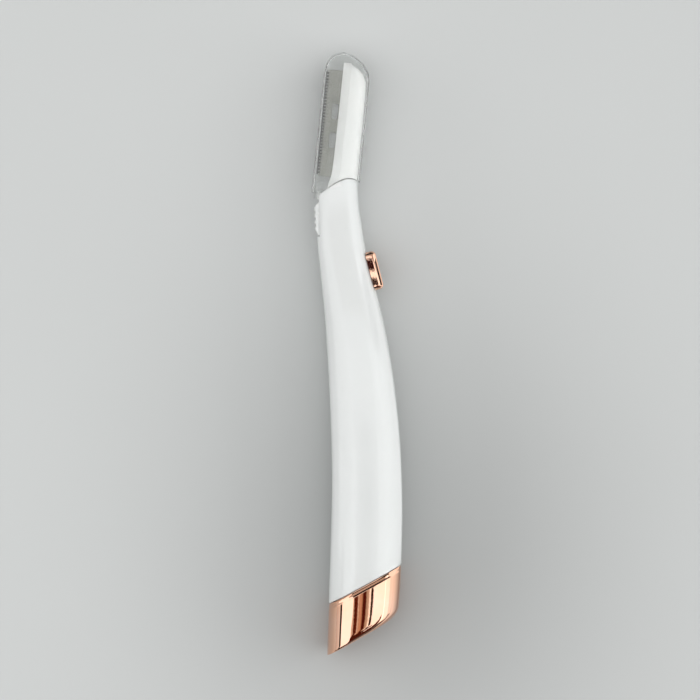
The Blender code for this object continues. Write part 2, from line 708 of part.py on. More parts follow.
def build_cell_group(cap_parent):
    """The cell in its tube, its top contact, and the plate, spring and strip of the other pole."""
    turned("battery_cell", [
        (0.0, CELL_LENGTH), (CELL_NUB_RADIUS, CELL_LENGTH),
        (CELL_NUB_RADIUS, CELL_LENGTH - CELL_NUB_HEIGHT),
        (CELL_RADIUS - 0.0006, CELL_LENGTH - CELL_NUB_HEIGHT),
        (CELL_RADIUS, CELL_LENGTH - CELL_NUB_HEIGHT - 0.0006),
        (CELL_RADIUS, 0.0004), (CELL_RADIUS - 0.0004, 0.0), (0.0, 0.0)],
        CELL_JACKET, 20, location=(CELL_X, CELL_FOOT, 0), rotation=(-math.pi / 2, 0, 0))
    tube = along_y("battery_tube", TUBE_OUTER, -0.060, CELL_TOP, material=INNER_PLASTIC)
    hole = along_y("tube_bore", TUBE_INNER, -0.065, CELL_TOP + 0.004)
    tube_foot = tilted_block("tube_foot", TUBE_FOOT, SEAM_TILT, above=False)
    cut(tube, hole, tube_foot)

    top_mesh = box_mesh("top_contact", (-TUBE_INNER, TOP_CONTACT_Y, -TOP_CONTACT_HALF_WIDTH),
                        (TUBE_INNER, TOP_CONTACT_Y + CONTACT_THICKNESS, TOP_CONTACT_HALF_WIDTH))
    top = add_object("top_contact", top_mesh, SPRING_STEEL, location=(CELL_X, 0, 0))
    round_edges(top, 0.0001, 1)

    plate = along_y("cap_contact", CELL_RADIUS - 0.0002, CONTACT_FLOOR + 0.0002,
                    CONTACT_FLOOR + 0.0002 + CONTACT_THICKNESS, material=SPRING_STEEL)
    plate.parent = cap_parent
    arm_x = CELL_X + CELL_RADIUS + 0.0006
    arm_top = PLUG_TOP + arm_x * math.tan(SEAM_TILT) - 0.0012
    arm = add_object("cap_contact_arm", box_mesh(
        "arm", (arm_x - 0.0012, CONTACT_FLOOR + 0.0002, -STRIP_WIDTH / 2),
        (arm_x, CONTACT_FLOOR + 0.0002 + CONTACT_THICKNESS, STRIP_WIDTH / 2)))
    rise = add_object("cap_contact_rise", box_mesh(
        "rise", (arm_x - STRIP_THICKNESS, CONTACT_FLOOR + 0.0002, -STRIP_WIDTH / 2),
        (arm_x, arm_top, STRIP_WIDTH / 2)))
    join(plate, arm, rise)

    spring_foot = CONTACT_FLOOR + 0.0002 + CONTACT_THICKNESS + 0.0002
    coil_spring("cap_spring", 0.0026, 0.0042, CELL_FOOT - 0.0002 - spring_foot, SPRING_TURNS,
                SPRING_WIRE, parent=cap_parent, location=(CELL_X, spring_foot, 0),
                rotation=(-math.pi / 2, 0, 0))

    strip_low = PLUG_TOP + STRIP_X * math.tan(SEAM_TILT) - 0.0032
    add_object("side_strip", box_mesh(
        "side_strip", (STRIP_X, strip_low, -STRIP_WIDTH / 2),
        (STRIP_X + STRIP_THICKNESS, BULKHEAD_Y + STRIP_RISE, STRIP_WIDTH / 2)), COPPER)


END_CAP = new_empty("end_cap_axis", (0, 0, 0), parent=MID_PLANE)
build_end_cap(END_CAP)
build_cell_group(END_CAP)


def build_board_group():
    """The circuit board, its parts, its two screws and the slide switch."""
    half_width, half_length = BOARD_WIDTH / 2, BOARD_LENGTH / 2
    middle = (-BOARD_INSET - half_width, BOARD_SHIFT, 0)
    board = add_object("circuit_board", box_mesh(
        "board", (-half_width, -half_length, BOARD_TOP - BOARD_THICKNESS),
        (half_width, half_length, BOARD_TOP)), BOARD_GREEN, parent=SWITCH, location=middle)
    for index, (along, across) in enumerate(BOARD_SCREWS, 1):
        hole = add_object(f"board_hole_{index}",
                          cylinder_mesh("hole", SCREW_RADIUS + SCREW_CLEARANCE, 0.004, 12), parent=SWITCH,
                          location=(middle[0] + across, middle[1] + along, BOARD_TOP))
        cut(board, hole)
        turned(f"board_screw_{index}", [
            (0.0, SCREW_HEAD_HEIGHT), (SCREW_HEAD_RADIUS * 0.7, SCREW_HEAD_HEIGHT),
            (SCREW_HEAD_RADIUS, SCREW_HEAD_HEIGHT * 0.5), (SCREW_HEAD_RADIUS, 0.0), (SCREW_RADIUS, 0.0),
            (SCREW_RADIUS, -SCREW_LENGTH + 0.0004), (0.0, -SCREW_LENGTH)], SPRING_STEEL, 12,
            parent=SWITCH, location=(middle[0] + across, middle[1] + along, BOARD_TOP + 0.0001))

    seat = BOARD_TOP + 0.0001

    def chip(name, along, across, size, material):
        low = (-size[0] / 2, -size[1] / 2, seat)
        high = (size[0] / 2, size[1] / 2, seat + size[2])
        piece = add_object(name, box_mesh(name, low, high), material, parent=SWITCH,
                           location=(middle[0] + across, middle[1] + along, 0))
        round_edges(piece, 0.00012, 1)

    chip_along = COIL_ALONG - COIL_RADIUS - COIL_GAP - BOOST_CHIP[1] / 2
    chip("boost_chip", chip_along, 0.0, BOOST_CHIP, BLACK_PLASTIC)
    case_top = SWITCH_CASE[1] / 2 + SWITCH_TRAVEL / 2
    small_along = case_top - BOARD_SHIFT + SMALL_PART_GAP + SMALL_PART_LENGTH / 2
    chip("smoothing_capacitor", small_along, -0.0018, (0.0012, SMALL_PART_LENGTH, 0.0011), INNER_PLASTIC)
    chip("current_resistor", small_along, 0.0006, (0.0010, SMALL_PART_LENGTH, 0.0006), BLACK_PLASTIC)
    waist = COIL_RADIUS * 0.74
    turned("boost_coil", [
        (0.0, COIL_HEIGHT), (COIL_RADIUS, COIL_HEIGHT), (COIL_RADIUS, COIL_HEIGHT * 0.81),
        (waist, COIL_HEIGHT * 0.73), (waist, COIL_HEIGHT * 0.27), (COIL_RADIUS, COIL_HEIGHT * 0.19),
        (COIL_RADIUS, 0.0), (0.0, 0.0)], COPPER, 14, parent=SWITCH,
        location=(middle[0] + COIL_ACROSS, middle[1] + COIL_ALONG, seat))

    case_wide, case_long, case_high = SWITCH_CASE
    case_right = -BOARD_INSET - 0.0002
    case = add_object("switch_case", box_mesh(
        "case", (case_right - case_wide, -case_long / 2 + SWITCH_TRAVEL / 2, seat),
        (case_right, case_long / 2 + SWITCH_TRAVEL / 2, seat + case_high)), SPRING_STEEL, parent=SWITCH)
    lever_deep, lever_long, lever_high = LEVER
    window = add_object("switch_window", box_mesh(
        "window", (case_right - lever_deep / 2 - 0.0003, -lever_long / 2 - 0.0003, -lever_high / 2 - 0.0003),
        (case_right + 0.001, lever_long / 2 + SWITCH_TRAVEL + 0.0003, lever_high / 2 + 0.0003)),
        parent=SWITCH)
    cut(case, window)
    lever = add_object("switch_lever", box_mesh(
        "lever", (case_right - lever_deep / 2, -lever_long / 2, -lever_high / 2),
        (case_right + lever_deep, lever_long / 2, lever_high / 2)), BLACK_PLASTIC, parent=SLIDE)
    round_edges(lever, 0.0001, 1)
    return case_right + lever_deep


def build_button(lever_tip):
    """The plated slide: a rounded cap that follows the spine, on a forked stem over the lever."""
    button = add_object("switch_button", box_mesh(
        "button", (BUTTON_FOOT, -BUTTON_LENGTH / 2, -BUTTON_WIDTH / 2),
        (BUTTON_PROUD, BUTTON_LENGTH / 2, BUTTON_WIDTH / 2)), PLATED, parent=SLIDE)
    round_edges(button, BUTTON_CORNER, 4)
    rings = [full_section(y, -BUTTON_SEAT) for y in spread(0.032, 0.056, 10)]
    cut(button, add_object("button_seat", loft_mesh("button_seat", rings)))
    stem_low = lever_tip - LEVER[0] / 2 - 0.0001
    stem = add_object("button_stem", box_mesh(
        "stem", (stem_low, -BUTTON_STEM_LENGTH / 2, -BUTTON_STEM_WIDTH / 2),
        (BUTTON_PROUD / 2, BUTTON_STEM_LENGTH / 2, BUTTON_STEM_WIDTH / 2)), parent=SLIDE)
    fork = add_object("button_fork", box_mesh(
        "fork", (stem_low - 0.001, -LEVER[1] / 2 - 0.0002, -0.004),
        (lever_tip + 0.0003, LEVER[1] / 2 + 0.0002, 0.004)), parent=SLIDE)
    join(button, stem)
    cut(button, fork)


SLIDE = new_empty("slide_axis", (0, 0, 0), parent=SWITCH)
build_button(build_board_group())


def head_ring(v, points=11):
    """A section of the blade holder: a thin front, a slanted facet, then a round back."""
    front = smooth(HOLDER_FRONT, v)
    back = smooth(HOLDER_BACK, v)
    crown_start = front + HOLDER_FACET
    deep = smooth(HOLDER_DEPTH, v)
    upper = [(back, v, 0.0)]
    for i in range(1, points):
        angle = math.pi / 2 * i / (points - 1)
        upper.append((crown_start + (back - crown_start) * math.cos(angle), v, deep * math.sin(angle)))
    upper.append((front, v, min(HOLDER_FRONT_HALF_DEPTH, deep * 0.8)))
    lower = [(x, at, -z) for x, at, z in reversed(upper[1:])]
    return upper + lower


def build_holder():
    heights = spread(-0.006, 0.0285, 6) + [0.0302, 0.0315, 0.0326, 0.0334, HOLDER_TOP]
    holder = add_object("blade_holder", loft_mesh("holder", [head_ring(v, 8) for v in heights]),
                        WHITE_PLASTIC, parent=MOVING_HEAD)
    line = mouth_outline(MOUTH_GAP)
    outline = [(line[0][0], 0.03), *line, (line[-1][0], 0.03)]
    below = add_object("below_mouth", prism_mesh("below_mouth", outline, -0.02, 0.02))
    cut(holder, below)
    stem = add_object("head_stem", box_mesh(
        "stem", (STEM_LEFT, -STEM_LENGTH, -STEM_DEPTH / 2),
        (STEM_LEFT + STEM_WIDTH, 0.006, STEM_DEPTH / 2)), parent=MOVING_HEAD)
    join(holder, stem)
    groove = add_object("blade_groove", box_mesh(
        "groove", (-0.006, BLADE_FOOT - BLADE_SEAT, -BLADE_THICKNESS / 2 - BLADE_SEAT),
        (BLADE_BACK + BLADE_SEAT, BLADE_TIP + BLADE_SEAT, BLADE_THICKNESS / 2 + BLADE_SEAT)),
        parent=MOVING_HEAD)
    notch = add_object("stem_notch", box_mesh(
        "notch", (STEM_LEFT - 0.001, LATCH_V - LATCH_HALF_WIDTH - LATCH_ROOM, -0.004),
        (STEM_LEFT + LATCH_NOTCH, LATCH_V + LATCH_HALF_WIDTH + LATCH_ROOM, 0.004)), parent=MOVING_HEAD)
    cut(holder, groove, notch)
    return holder


def build_blade():
    """A flat strip ground on both sides to its edge, with two oblong slots."""
    half = BLADE_THICKNESS / 2
    section = [(BLADE_BACK, half), (BLADE_EDGE + BLADE_BEVEL, half), (BLADE_EDGE, 0.00004),
               (BLADE_EDGE, -0.00004), (BLADE_EDGE + BLADE_BEVEL, -half), (BLADE_BACK, -half)]
    rings = [[(x, v, z) for x, z in section] for v in (BLADE_FOOT, BLADE_TIP)]
    blade = add_object("razor_blade", loft_mesh("blade", rings), STEEL, parent=MOVING_HEAD)
    wide, long = BLADE_SLOT
    for index, v in enumerate(BLADE_SLOT_HEIGHTS, 1):
        slot = add_object(f"blade_slot_{index}", box_mesh(
            "slot", (BLADE_SLOT_SHIFT - wide / 2, v - long / 2, -0.002),
            (BLADE_SLOT_SHIFT + wide / 2, v + long / 2, 0.002)), parent=MOVING_HEAD)
        round_edges(slot, 0.0004, 1)
        cut(blade, slot)


def build_guard():
    """A comb folded over the cutting edge: two thin rails joined by teeth across the edge."""
    low, high = BLADE_FOOT + 0.0004, BLADE_TIP - 0.0004
    left = BLADE_EDGE - GUARD_PROUD
    right = left + GUARD_WIDTH
    guard = add_object("blade_guard", box_mesh(
        "guard", (left, low, -GUARD_HALF_DEPTH), (right, high, GUARD_HALF_DEPTH)), SPRING_STEEL,
        parent=MOVING_HEAD)
    fold = add_object("guard_fold", box_mesh(
        "fold", (BLADE_EDGE - 0.00004, low - 0.001, -BLADE_THICKNESS / 2 - 0.0001),
        (right + 0.001, high + 0.001, BLADE_THICKNESS / 2 + 0.0001)), parent=MOVING_HEAD)
    work = bmesh.new()
    count = int((high - low - GUARD_TOOTH) / GUARD_PITCH)
    start = (low + high - count * GUARD_PITCH + GUARD_TOOTH) / 2
    for i in range(count):
        v = start + i * GUARD_PITCH
        gap = box_mesh("gap", (left - 0.001, v, -0.002),
                       (right - GUARD_RAIL, v + GUARD_PITCH - GUARD_TOOTH, 0.002))
        work.from_mesh(gap)
        bpy.data.meshes.remove(gap)
    gaps = add_object("guard_gaps", mesh_from("gaps", work), parent=MOVING_HEAD)
    cut(guard, fold, gaps)


def clear_ring(v, wall, points=9):
    """A section of the protective cap; wall draws it in for the inside."""
    left, right, deep = (smooth(line, v) for line in (CAP_LEFT, CAP_RIGHT, CAP_DEPTH))
    middle = (left + right) / 2
    half = (right - left) / 2
    shrink_u = 1 - wall / CAP_RIGHT[0][1]
    shrink_z = 1 - wall / CAP_DEPTH[0][1]
    raised = v * (1 - wall * 1.2 / CAP_TOP)
    found = []
    for i in range(4 * (points - 1) // 2):
        angle = 2 * math.pi * i / (4 * (points - 1) // 2)
        across, up = math.cos(angle), math.sin(angle)
        u = middle + half * math.copysign(abs(across) ** 0.62, across)
        z = deep * math.copysign(abs(up) ** 0.62, up)
        found.append((u * shrink_u, raised, z * shrink_z))
    return found


def build_protective_cap():
    heights = [-0.006, 0.006, 0.018, 0.0285, 0.0312, 0.0330, 0.0344, 0.0354, 0.0361, 0.0366, CAP_TOP]
    cap = add_object("protective_cap", loft_mesh("cap", [clear_ring(v, 0.0) for v in heights]), CLEAR,
                     parent=MOVING_CAP)
    hollow = add_object("cap_hollow", loft_mesh("hollow", [clear_ring(v, CLEAR_WALL) for v in heights]),
                        parent=MOVING_CAP)
    line = mouth_outline(CLEAR_RIM_GAP, CLEAR_RIM_HEIGHT)
    outline = [(line[0][0], 0.03), *line, (line[-1][0], 0.03)]
    below = add_object("below_rim", prism_mesh("below_rim", outline, -0.02, 0.02))
    cut(cap, hollow, below)


MOVING_HEAD = new_empty("head_slide", (0, 0, 0), parent=HEAD)
MOVING_CAP = new_empty("cap_slide", (0, 0, 0), parent=HEAD)
build_holder()
build_blade()
build_guard()
build_protective_cap()


def build_socket():
    """The sleeve inside the neck that takes the head's stem, with a window for the latch."""
    gap = STEM_CLEARANCE
    left, right = STEM_LEFT - gap, STEM_LEFT + STEM_WIDTH + gap
    deep = STEM_DEPTH / 2 + gap
    low = -STEM_LENGTH - gap - SOCKET_FLOOR
    socket = add_object("head_socket", box_mesh(
        "socket", (left - SOCKET_WALL, low, -deep - SOCKET_WALL),
        (right + SOCKET_WALL, 0.006, deep + SOCKET_WALL)), INNER_PLASTIC, parent=HEAD)
    round_edges(socket, SOCKET_WALL * 0.8, 1)
    room = add_object("socket_room", box_mesh(
        "room", (left, -STEM_LENGTH - gap, -deep), (right, 0.008, deep)), parent=HEAD)
    line = mouth_outline(-SOCKET_INSET)
    outline = line + [(line[-1][0], 0.12), (line[0][0], 0.12)]
    above = add_object("above_socket", prism_mesh("above_socket", outline[::-1], -0.02, 0.02))
    window = add_object("latch_window", box_mesh(
        "window", (left - 0.002, LATCH_V - LATCH_HALF_WIDTH - LATCH_ROOM, -LATCH_HALF_WIDTH - LATCH_ROOM),
        (left + 0.0002, LATCH_V + LATCH_HALF_WIDTH + LATCH_ROOM, LATCH_HALF_WIDTH + LATCH_ROOM)), parent=HEAD)
    cut(socket, room, above, window)


def release_outline():
    """The rocker seen along its pin: ribbed outside, plain inside, drawn in at both ends."""
    outside = []
    steps = 8 * RELEASE_RIBS
    rib_start = RELEASE_START + 0.0008
    for i in range(steps + 1):
        y = rib_start + RIB_PITCH * i / 8
        wave = 0.5 - 0.5 * math.cos(2 * math.pi * i / 8)
        outside.append((smooth(BELLY_LINE, y) - RELEASE_PROUD - RIB_HEIGHT * wave, y))
    start = (smooth(BELLY_LINE, RELEASE_START) + 0.0003, RELEASE_START)
    end = (smooth(BELLY_LINE, RELEASE_END) + 0.0008, RELEASE_END)
    inside = [(smooth(BELLY_LINE, y) + RELEASE_THICKNESS, y) for y in spread(RELEASE_START, RELEASE_END, 5)]
    return [start, *outside, end, *inside[::-1]]


def build_release():
    """The ribbed rocker, its pin, and the coil that holds its lower end out."""
    pivot_x = smooth(BELLY_LINE, PIVOT_Y) + PIVOT_INSET
    outline = [(x - pivot_x, y - PIVOT_Y) for x, y in release_outline()]
    button = add_object("release_button", prism_mesh(
        "release", outline, -RELEASE_HALF_WIDTH, RELEASE_HALF_WIDTH), WHITE_PLASTIC, parent=ROCKER)
    rounding = add_object("release_rounding", section_solid(
        "rounding", 0.050, 0.066, -RIB_HEIGHT - RELEASE_PROUD, 8))
    combine(button, rounding, "INTERSECT")
    boss = add_object("release_boss", cylinder_mesh(
        "boss", PIN_RADIUS + PIN_CLEARANCE + BOSS_WALL, RELEASE_HALF_WIDTH * 2, 16), parent=ROCKER)
    nose_right = STEM_LEFT - STEM_CLEARANCE + 0.0001
    nose = add_object("latch_nose", box_mesh(
        "nose", (nose_right - LATCH_REACH, LATCH_V - LATCH_HALF_WIDTH, -LATCH_HALF_WIDTH),
        (nose_right, LATCH_V + LATCH_HALF_WIDTH, LATCH_HALF_WIDTH)), parent=HEAD)
    join(button, boss, nose)
    hole = add_object("release_pin_room", cylinder_mesh(
        "room", PIN_RADIUS + PIN_CLEARANCE, 0.02, 14), parent=ROCKER)
    cut(button, hole)
    add_object("release_pin", cylinder_mesh("pin", PIN_RADIUS, PIN_LENGTH, 14), SPRING_STEEL,
               location=(pivot_x, PIVOT_Y, 0))
    spring_x = smooth(BELLY_LINE, RELEASE_SPRING_Y) + RELEASE_THICKNESS + 0.0002
    coil_spring("release_spring", RELEASE_SPRING_RADIUS, RELEASE_SPRING_RADIUS, RELEASE_SPRING_LENGTH,
                RELEASE_SPRING_TURNS, RELEASE_SPRING_WIRE, location=(spring_x, RELEASE_SPRING_Y, 0),
                rotation=(0, math.pi / 2, 0))


def build_lamp():
    """A clear dome standing in the belly slot beside the head, and the lamp inside it."""
    place = {"parent": HEAD, "location": (LENS_SHIFT, 0, 0), "rotation": (-math.pi / 2, 0, 0)}
    dome = [(LENS_RADIUS * math.sin(a), LENS_TOP - LENS_RADIUS * (1 - math.cos(a)))
            for a in spread(0, math.pi / 2, 6)]
    bore_top = LENS_TOP - LENS_RADIUS - 0.0006
    profile = dome + [(LENS_RADIUS, LENS_FOOT), (LENS_BORE, LENS_FOOT), (LENS_BORE, bore_top - 0.0004),
                      (LENS_BORE * 0.6, bore_top), (0.0, bore_top)]
    turned("lamp_lens", profile, CLEAR, 16, **place)
    lamp_top = bore_top - 0.0006
    lamp_foot = LENS_FOOT - 0.0001
    turned("lamp", [(0.0, lamp_top), (LAMP_RADIUS * 0.6, lamp_top - 0.0001),
                    (LAMP_RADIUS, lamp_top - 0.0004), (LAMP_RADIUS, lamp_foot), (0.0, lamp_foot)],
           INNER_PLASTIC, 12, **place)


ROCKER = new_empty("rocker_axis", (smooth(BELLY_LINE, PIVOT_Y) + PIVOT_INSET, PIVOT_Y, 0), parent=MID_PLANE)
build_socket()
build_release()
build_lamp()


def route(places, steps=3):
    """Points of one smooth curve through the wire's own places."""
    anchors = [Vector(place) for place in places]
    found = []
    for i in range(len(anchors) - 1):
        before = anchors[max(i - 1, 0)]
        start, end = anchors[i], anchors[i + 1]
        after = anchors[min(i + 2, len(anchors) - 1)]
        for k in range(steps):
            t = k / steps
            found.append(0.5 * (2 * start + (end - before) * t
                                + (2 * before - 5 * start + 4 * end - after) * t ** 2
                                + (3 * start - before - 3 * end + after) * t ** 3))
    found.append(anchors[-1])
    return found


def build_wires():
    """Two wires from the cell's contacts to the board, and two from the board to the lamp."""
    above_board = BOARD_TOP + WIRE_RADIUS + 0.00015
    low_pad = BOARD_SHIFT - BOARD_LENGTH / 2 + WIRE_PAD_INSET
    high_pads = [BOARD_SHIFT + BOARD_LENGTH / 2 - inset for inset in LAMP_PAD_INSETS]

    def pad(across, along):
        place = Matrix.Rotation(SPINE_TILT, 4, "Z") @ Vector((across, along, 0))
        return (SWITCH_AT[0] + place.x, SWITCH_AT[1] + place.y, above_board)

    def risen(places):
        return [(x, BULKHEAD_Y + y, z) for x, y, z in places]

    x, y, z = LAMP_WIRE_END
    routes = {
        "cell_wire_1": [(0.0, BULKHEAD_Y + 0.0001, 0.0), *risen(CELL_WIRE_1_ROUTE),
                        pad(CELL_WIRE_PADS[0], low_pad)],
        "cell_wire_2": [(STRIP_X + STRIP_THICKNESS / 2, BULKHEAD_Y + STRIP_RISE + CONTACT_GAP, 0.0),
                        *risen(CELL_WIRE_2_ROUTE), pad(CELL_WIRE_PADS[1], low_pad)],
        "lamp_wire_1": [pad(LAMP_WIRE_PADS[0], high_pads[0]), *LAMP_WIRE_1_ROUTE, (x, y, z)],
        "lamp_wire_2": [pad(LAMP_WIRE_PADS[1], high_pads[1]), *LAMP_WIRE_2_ROUTE, (x, y, -z)],
    }
    for name, places in routes.items():
        material = RED_WIRE if name.endswith("1") else BLACK_WIRE
        tube_object(name, route(places), WIRE_RADIUS, material)


build_wires()
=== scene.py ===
# Lighted eyebrow and face razor, lying on its side: finishes, fine shapes, light and camera.
import math
import bmesh
import bpy
from mathutils import Matrix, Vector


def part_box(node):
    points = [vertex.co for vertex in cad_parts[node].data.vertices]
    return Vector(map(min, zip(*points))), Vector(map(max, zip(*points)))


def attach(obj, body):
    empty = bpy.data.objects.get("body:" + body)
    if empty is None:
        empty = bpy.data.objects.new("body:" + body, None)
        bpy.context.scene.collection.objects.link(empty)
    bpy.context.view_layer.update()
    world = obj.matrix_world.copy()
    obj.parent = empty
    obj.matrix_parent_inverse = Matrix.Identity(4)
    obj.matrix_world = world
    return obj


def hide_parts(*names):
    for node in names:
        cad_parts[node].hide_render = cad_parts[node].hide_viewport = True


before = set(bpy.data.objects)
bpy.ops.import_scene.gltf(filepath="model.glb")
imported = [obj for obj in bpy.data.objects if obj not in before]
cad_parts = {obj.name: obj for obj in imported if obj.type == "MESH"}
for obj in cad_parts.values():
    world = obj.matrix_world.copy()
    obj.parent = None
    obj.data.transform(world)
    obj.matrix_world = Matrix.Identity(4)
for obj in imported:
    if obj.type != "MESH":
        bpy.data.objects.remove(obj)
scene = bpy.context.scene
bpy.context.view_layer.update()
print("frame loaded:", len(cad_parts), "nodes")

midPlane = (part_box("left_handle_shell")[1][2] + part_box("right_handle_shell")[0][2]) / 2

# Handle, in metres; each station is (distance along Y, value).
handle = {
    "belly": ((-0.064, -0.01045), (-0.04, -0.00968), (-0.014, -0.00906), (0.01, -0.00972),
              (0.0305, -0.01095), (0.051, -0.01298), (0.06, -0.01345), (0.072, -0.0136)),
    "spine": ((-0.066, 0.0066), (-0.0545, 0.0078), (-0.05, 0.00897), (-0.044, 0.0096),
              (-0.034, 0.01003), (-0.0185, 0.01023), (-0.0015, 0.0095), (0.0142, 0.0078),
              (0.027, 0.0056), (0.0365, 0.00345), (0.0492, 0.00022), (0.0562, -0.00095),
              (0.0625, -0.00184), (0.072, -0.0021)),
    "halfThickness": 0.0076,
    "neckHalfThickness": 0.0046,
    "neckStart": 0.02,
    "neckLength": 0.046,
    "flatShare": 0.3,
    "wall": 0.0012,
    "partingGap": 0.00012,
    "topLine": ((-0.0175, 0.0608), (-0.0119, 0.0647), (-0.00793, 0.0673), (-0.00585, 0.0682),
                (-0.0042, 0.06845), (-0.00273, 0.06822), (-0.00167, 0.0675), (0.002, 0.064)),
    "seamHeight": -0.04225,
    "seamTilt": math.radians(28.5),
    "seamGap": 0.0003,
    "slotStart": 0.0528,
    "slotHalfWidth": 0.00295,
    "slotDepthX": -0.0104,
    "edgeRound": 0.00014,
    "shellFrom": -0.054,
    "shellTo": 0.0715,
    "rings": 150,
    "arcPoints": 49,
    "innerPoints": 25,
    "finePoints": 97,
}


def smooth(stations, at):
    places, values = zip(*stations)
    at = min(max(at, places[0]), places[-1])
    k = max(i for i in range(len(places) - 1) if places[i] <= at or i == 0)
    slopes = []
    for i in range(len(places)):
        low = max(i - 1, 0)
        high = min(i + 1, len(places) - 1)
        slopes.append((values[high] - values[low]) / (places[high] - places[low]))
    span = places[k + 1] - places[k]
    t = (at - places[k]) / span
    start = (2 * t ** 3 - 3 * t ** 2 + 1) * values[k] + (t ** 3 - 2 * t ** 2 + t) * span * slopes[k]
    end = (3 * t ** 2 - 2 * t ** 3) * values[k + 1] + (t ** 3 - t ** 2) * span * slopes[k + 1]
    return start + end


def spread(low, high, count):
    return [low + (high - low) * i / (count - 1) for i in range(count)]


def spreadRuns(runs):
    # runs are (from, to, count)
    return [at for run in runs for at in spread(*run)]


def halfThickness(y):
    t = min(max((y - handle["neckStart"]) / handle["neckLength"], 0), 1)
    drop = handle["neckHalfThickness"] - handle["halfThickness"]
    return handle["halfThickness"] + drop * t * t * (3 - 2 * t)


def arc(y, inset=0.0, points=handle["arcPoints"], lift=0.0):
    # the upper half of the section, from the spine over to the belly
    left = smooth(handle["belly"], y) + inset
    right = smooth(handle["spine"], y) - inset
    middle = (left + right) / 2
    halfWidth = (right - left) / 2
    height = halfThickness(y) - inset - lift
    flat = handle["flatShare"] * halfWidth
    quarter = points // 2
    found = []
    for side, steps in ((1, range(quarter + 1)), (-1, range(quarter, -1, -1))):
        for i in steps:
            angle = math.pi / 2 * i / quarter
            x = middle + side * flat + side * (halfWidth - flat) * math.cos(angle)
            found.append((x, y, lift + height * math.sin(angle)))
    return found


def fullSection(y, inset=0.0, points=handle["arcPoints"]):
    upper = arc(y, inset, points)
    return upper + [(x, at, -z) for x, at, z in reversed(upper[1:-1])]


def loft(name, rings):
    work = bmesh.new()
    rows = [[work.verts.new(point) for point in ring] for ring in rings]
    count = len(rows[0])
    for lower, upper in zip(rows, rows[1:]):
        for i in range(count):
            j = (i + 1) % count
            work.faces.new((lower[i], lower[j], upper[j], upper[i]))
    work.faces.new(reversed(rows[0]))
    work.faces.new(rows[-1])
    return closedShape(name, work)


def link(name, data):
    obj = bpy.data.objects.new(name, data)
    scene.collection.objects.link(obj)
    return obj


def fromBmesh(name, work):
    mesh = bpy.data.meshes.new(name)
    work.to_mesh(mesh)
    work.free()
    return link(name, mesh)


def closedShape(name, work):
    bmesh.ops.recalc_face_normals(work, faces=work.faces)
    return fromBmesh(name, work)


def block(name, low, high):
    work = bmesh.new()
    bmesh.ops.create_cube(work, size=1)
    bmesh.ops.scale(work, vec=[high[i] - low[i] for i in range(3)], verts=work.verts)
    bmesh.ops.translate(work, vec=[(high[i] + low[i]) / 2 for i in range(3)], verts=work.verts)
    return fromBmesh(name, work)


def prism(name, outline, half=0.02):
    # runs from -half to half along Z; as it stands it goes right through the object
    work = bmesh.new()
    base = work.faces.new([work.verts.new((x, y, -half)) for x, y in outline])
    raised = bmesh.ops.extrude_face_region(work, geom=[base])
    lifted = [v for v in raised["geom"] if isinstance(v, bmesh.types.BMVert)]
    bmesh.ops.translate(work, vec=(0, 0, 2 * half), verts=lifted)
    return closedShape(name, work)


def turnedShape(name, profile, segments=64):
    # profile is (radius, height) from top to bottom, turned about Z
    poleRadius = 1e-7
    work = bmesh.new()
    angles = [2 * math.pi * i / segments for i in range(segments)]
    rows = []
    for radius, height in profile:
        around = [(math.cos(a), math.sin(a)) for a in angles] if radius > poleRadius else [(0, 0)]
        rows.append([work.verts.new((radius * x, radius * y, height)) for x, y in around])
    for upper, lower in zip(rows, rows[1:]):
        for i in range(segments):
            corners = ((upper, i), (lower, i), (lower, i + 1), (upper, i + 1))
            unique = list(dict.fromkeys(row[k % len(row)] for row, k in corners))
            if len(unique) > 2:
                work.faces.new(unique)
    return closedShape(name, work)


def rod(name, radius, low, high, segments):
    return turnedShape(name, [(0, high), (radius, high), (radius, low), (0, low)], segments)


def standAt(at, angle=0.0, axis="Z"):
    return Matrix.Translation(at) @ Matrix.Rotation(angle, 4, axis)


def alongY(at):
    # for what is drawn along Z
    return standAt(at, -math.pi / 2, "X")


def place(obj, matrix):
    obj.data.transform(matrix)
    return obj


def combine(obj, other, operation="DIFFERENCE", crossing=False):
    # crossing is for an object whose own faces run through each other
    modifier = obj.modifiers.new("boolean", "BOOLEAN")
    modifier.use_self = crossing
    modifier.operation = operation
    modifier.solver = "EXACT"
    modifier.object = other
    bake(obj)
    bpy.data.objects.remove(other)


def bake(obj):
    bpy.context.view_layer.update()
    view = bpy.context.evaluated_depsgraph_get()
    mesh = bpy.data.meshes.new_from_object(obj.evaluated_get(view))
    obj.modifiers.clear()
    obj.data = mesh


def roundEdges(obj, width, segments, angle):
    bevel = obj.modifiers.new("edges", "BEVEL")
    bevel.width = width
    bevel.segments = segments
    bevel.limit_method = "ANGLE"
    bevel.angle_limit = math.radians(angle)
    bake(obj)


def paint(obj, finish):
    obj.data.materials.clear()
    obj.data.materials.append(materials[finish])


def finishPiece(obj, body, finish, node, sharp=35, flatFrom=None):
    # faces of an area from flatFrom up stay flat
    paint(obj, finish)
    obj.data.shade_smooth()
    obj.data.set_sharp_from_angle(angle=math.radians(sharp))
    if flatFrom:
        for face in obj.data.polygons:
            face.use_smooth = face.area < flatFrom
    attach(obj, body)
    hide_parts(node)
    print(node, len(obj.data.polygons), "faces")


onMidPlane = standAt((0, 0, midPlane))


def addNode(tree, kind, place, **settings):
    node = tree.nodes.new(kind)
    node.location = place
    for key, value in settings.items():
        if key in node.inputs:
            node.inputs[key].default_value = value
        else:
            setattr(node, key, value)
    return node


def wire(tree, *links):
    # each link is (node, its output, node, its input)
    for source, output, target, into in links:
        tree.links.new(source.outputs[output], target.inputs[into])


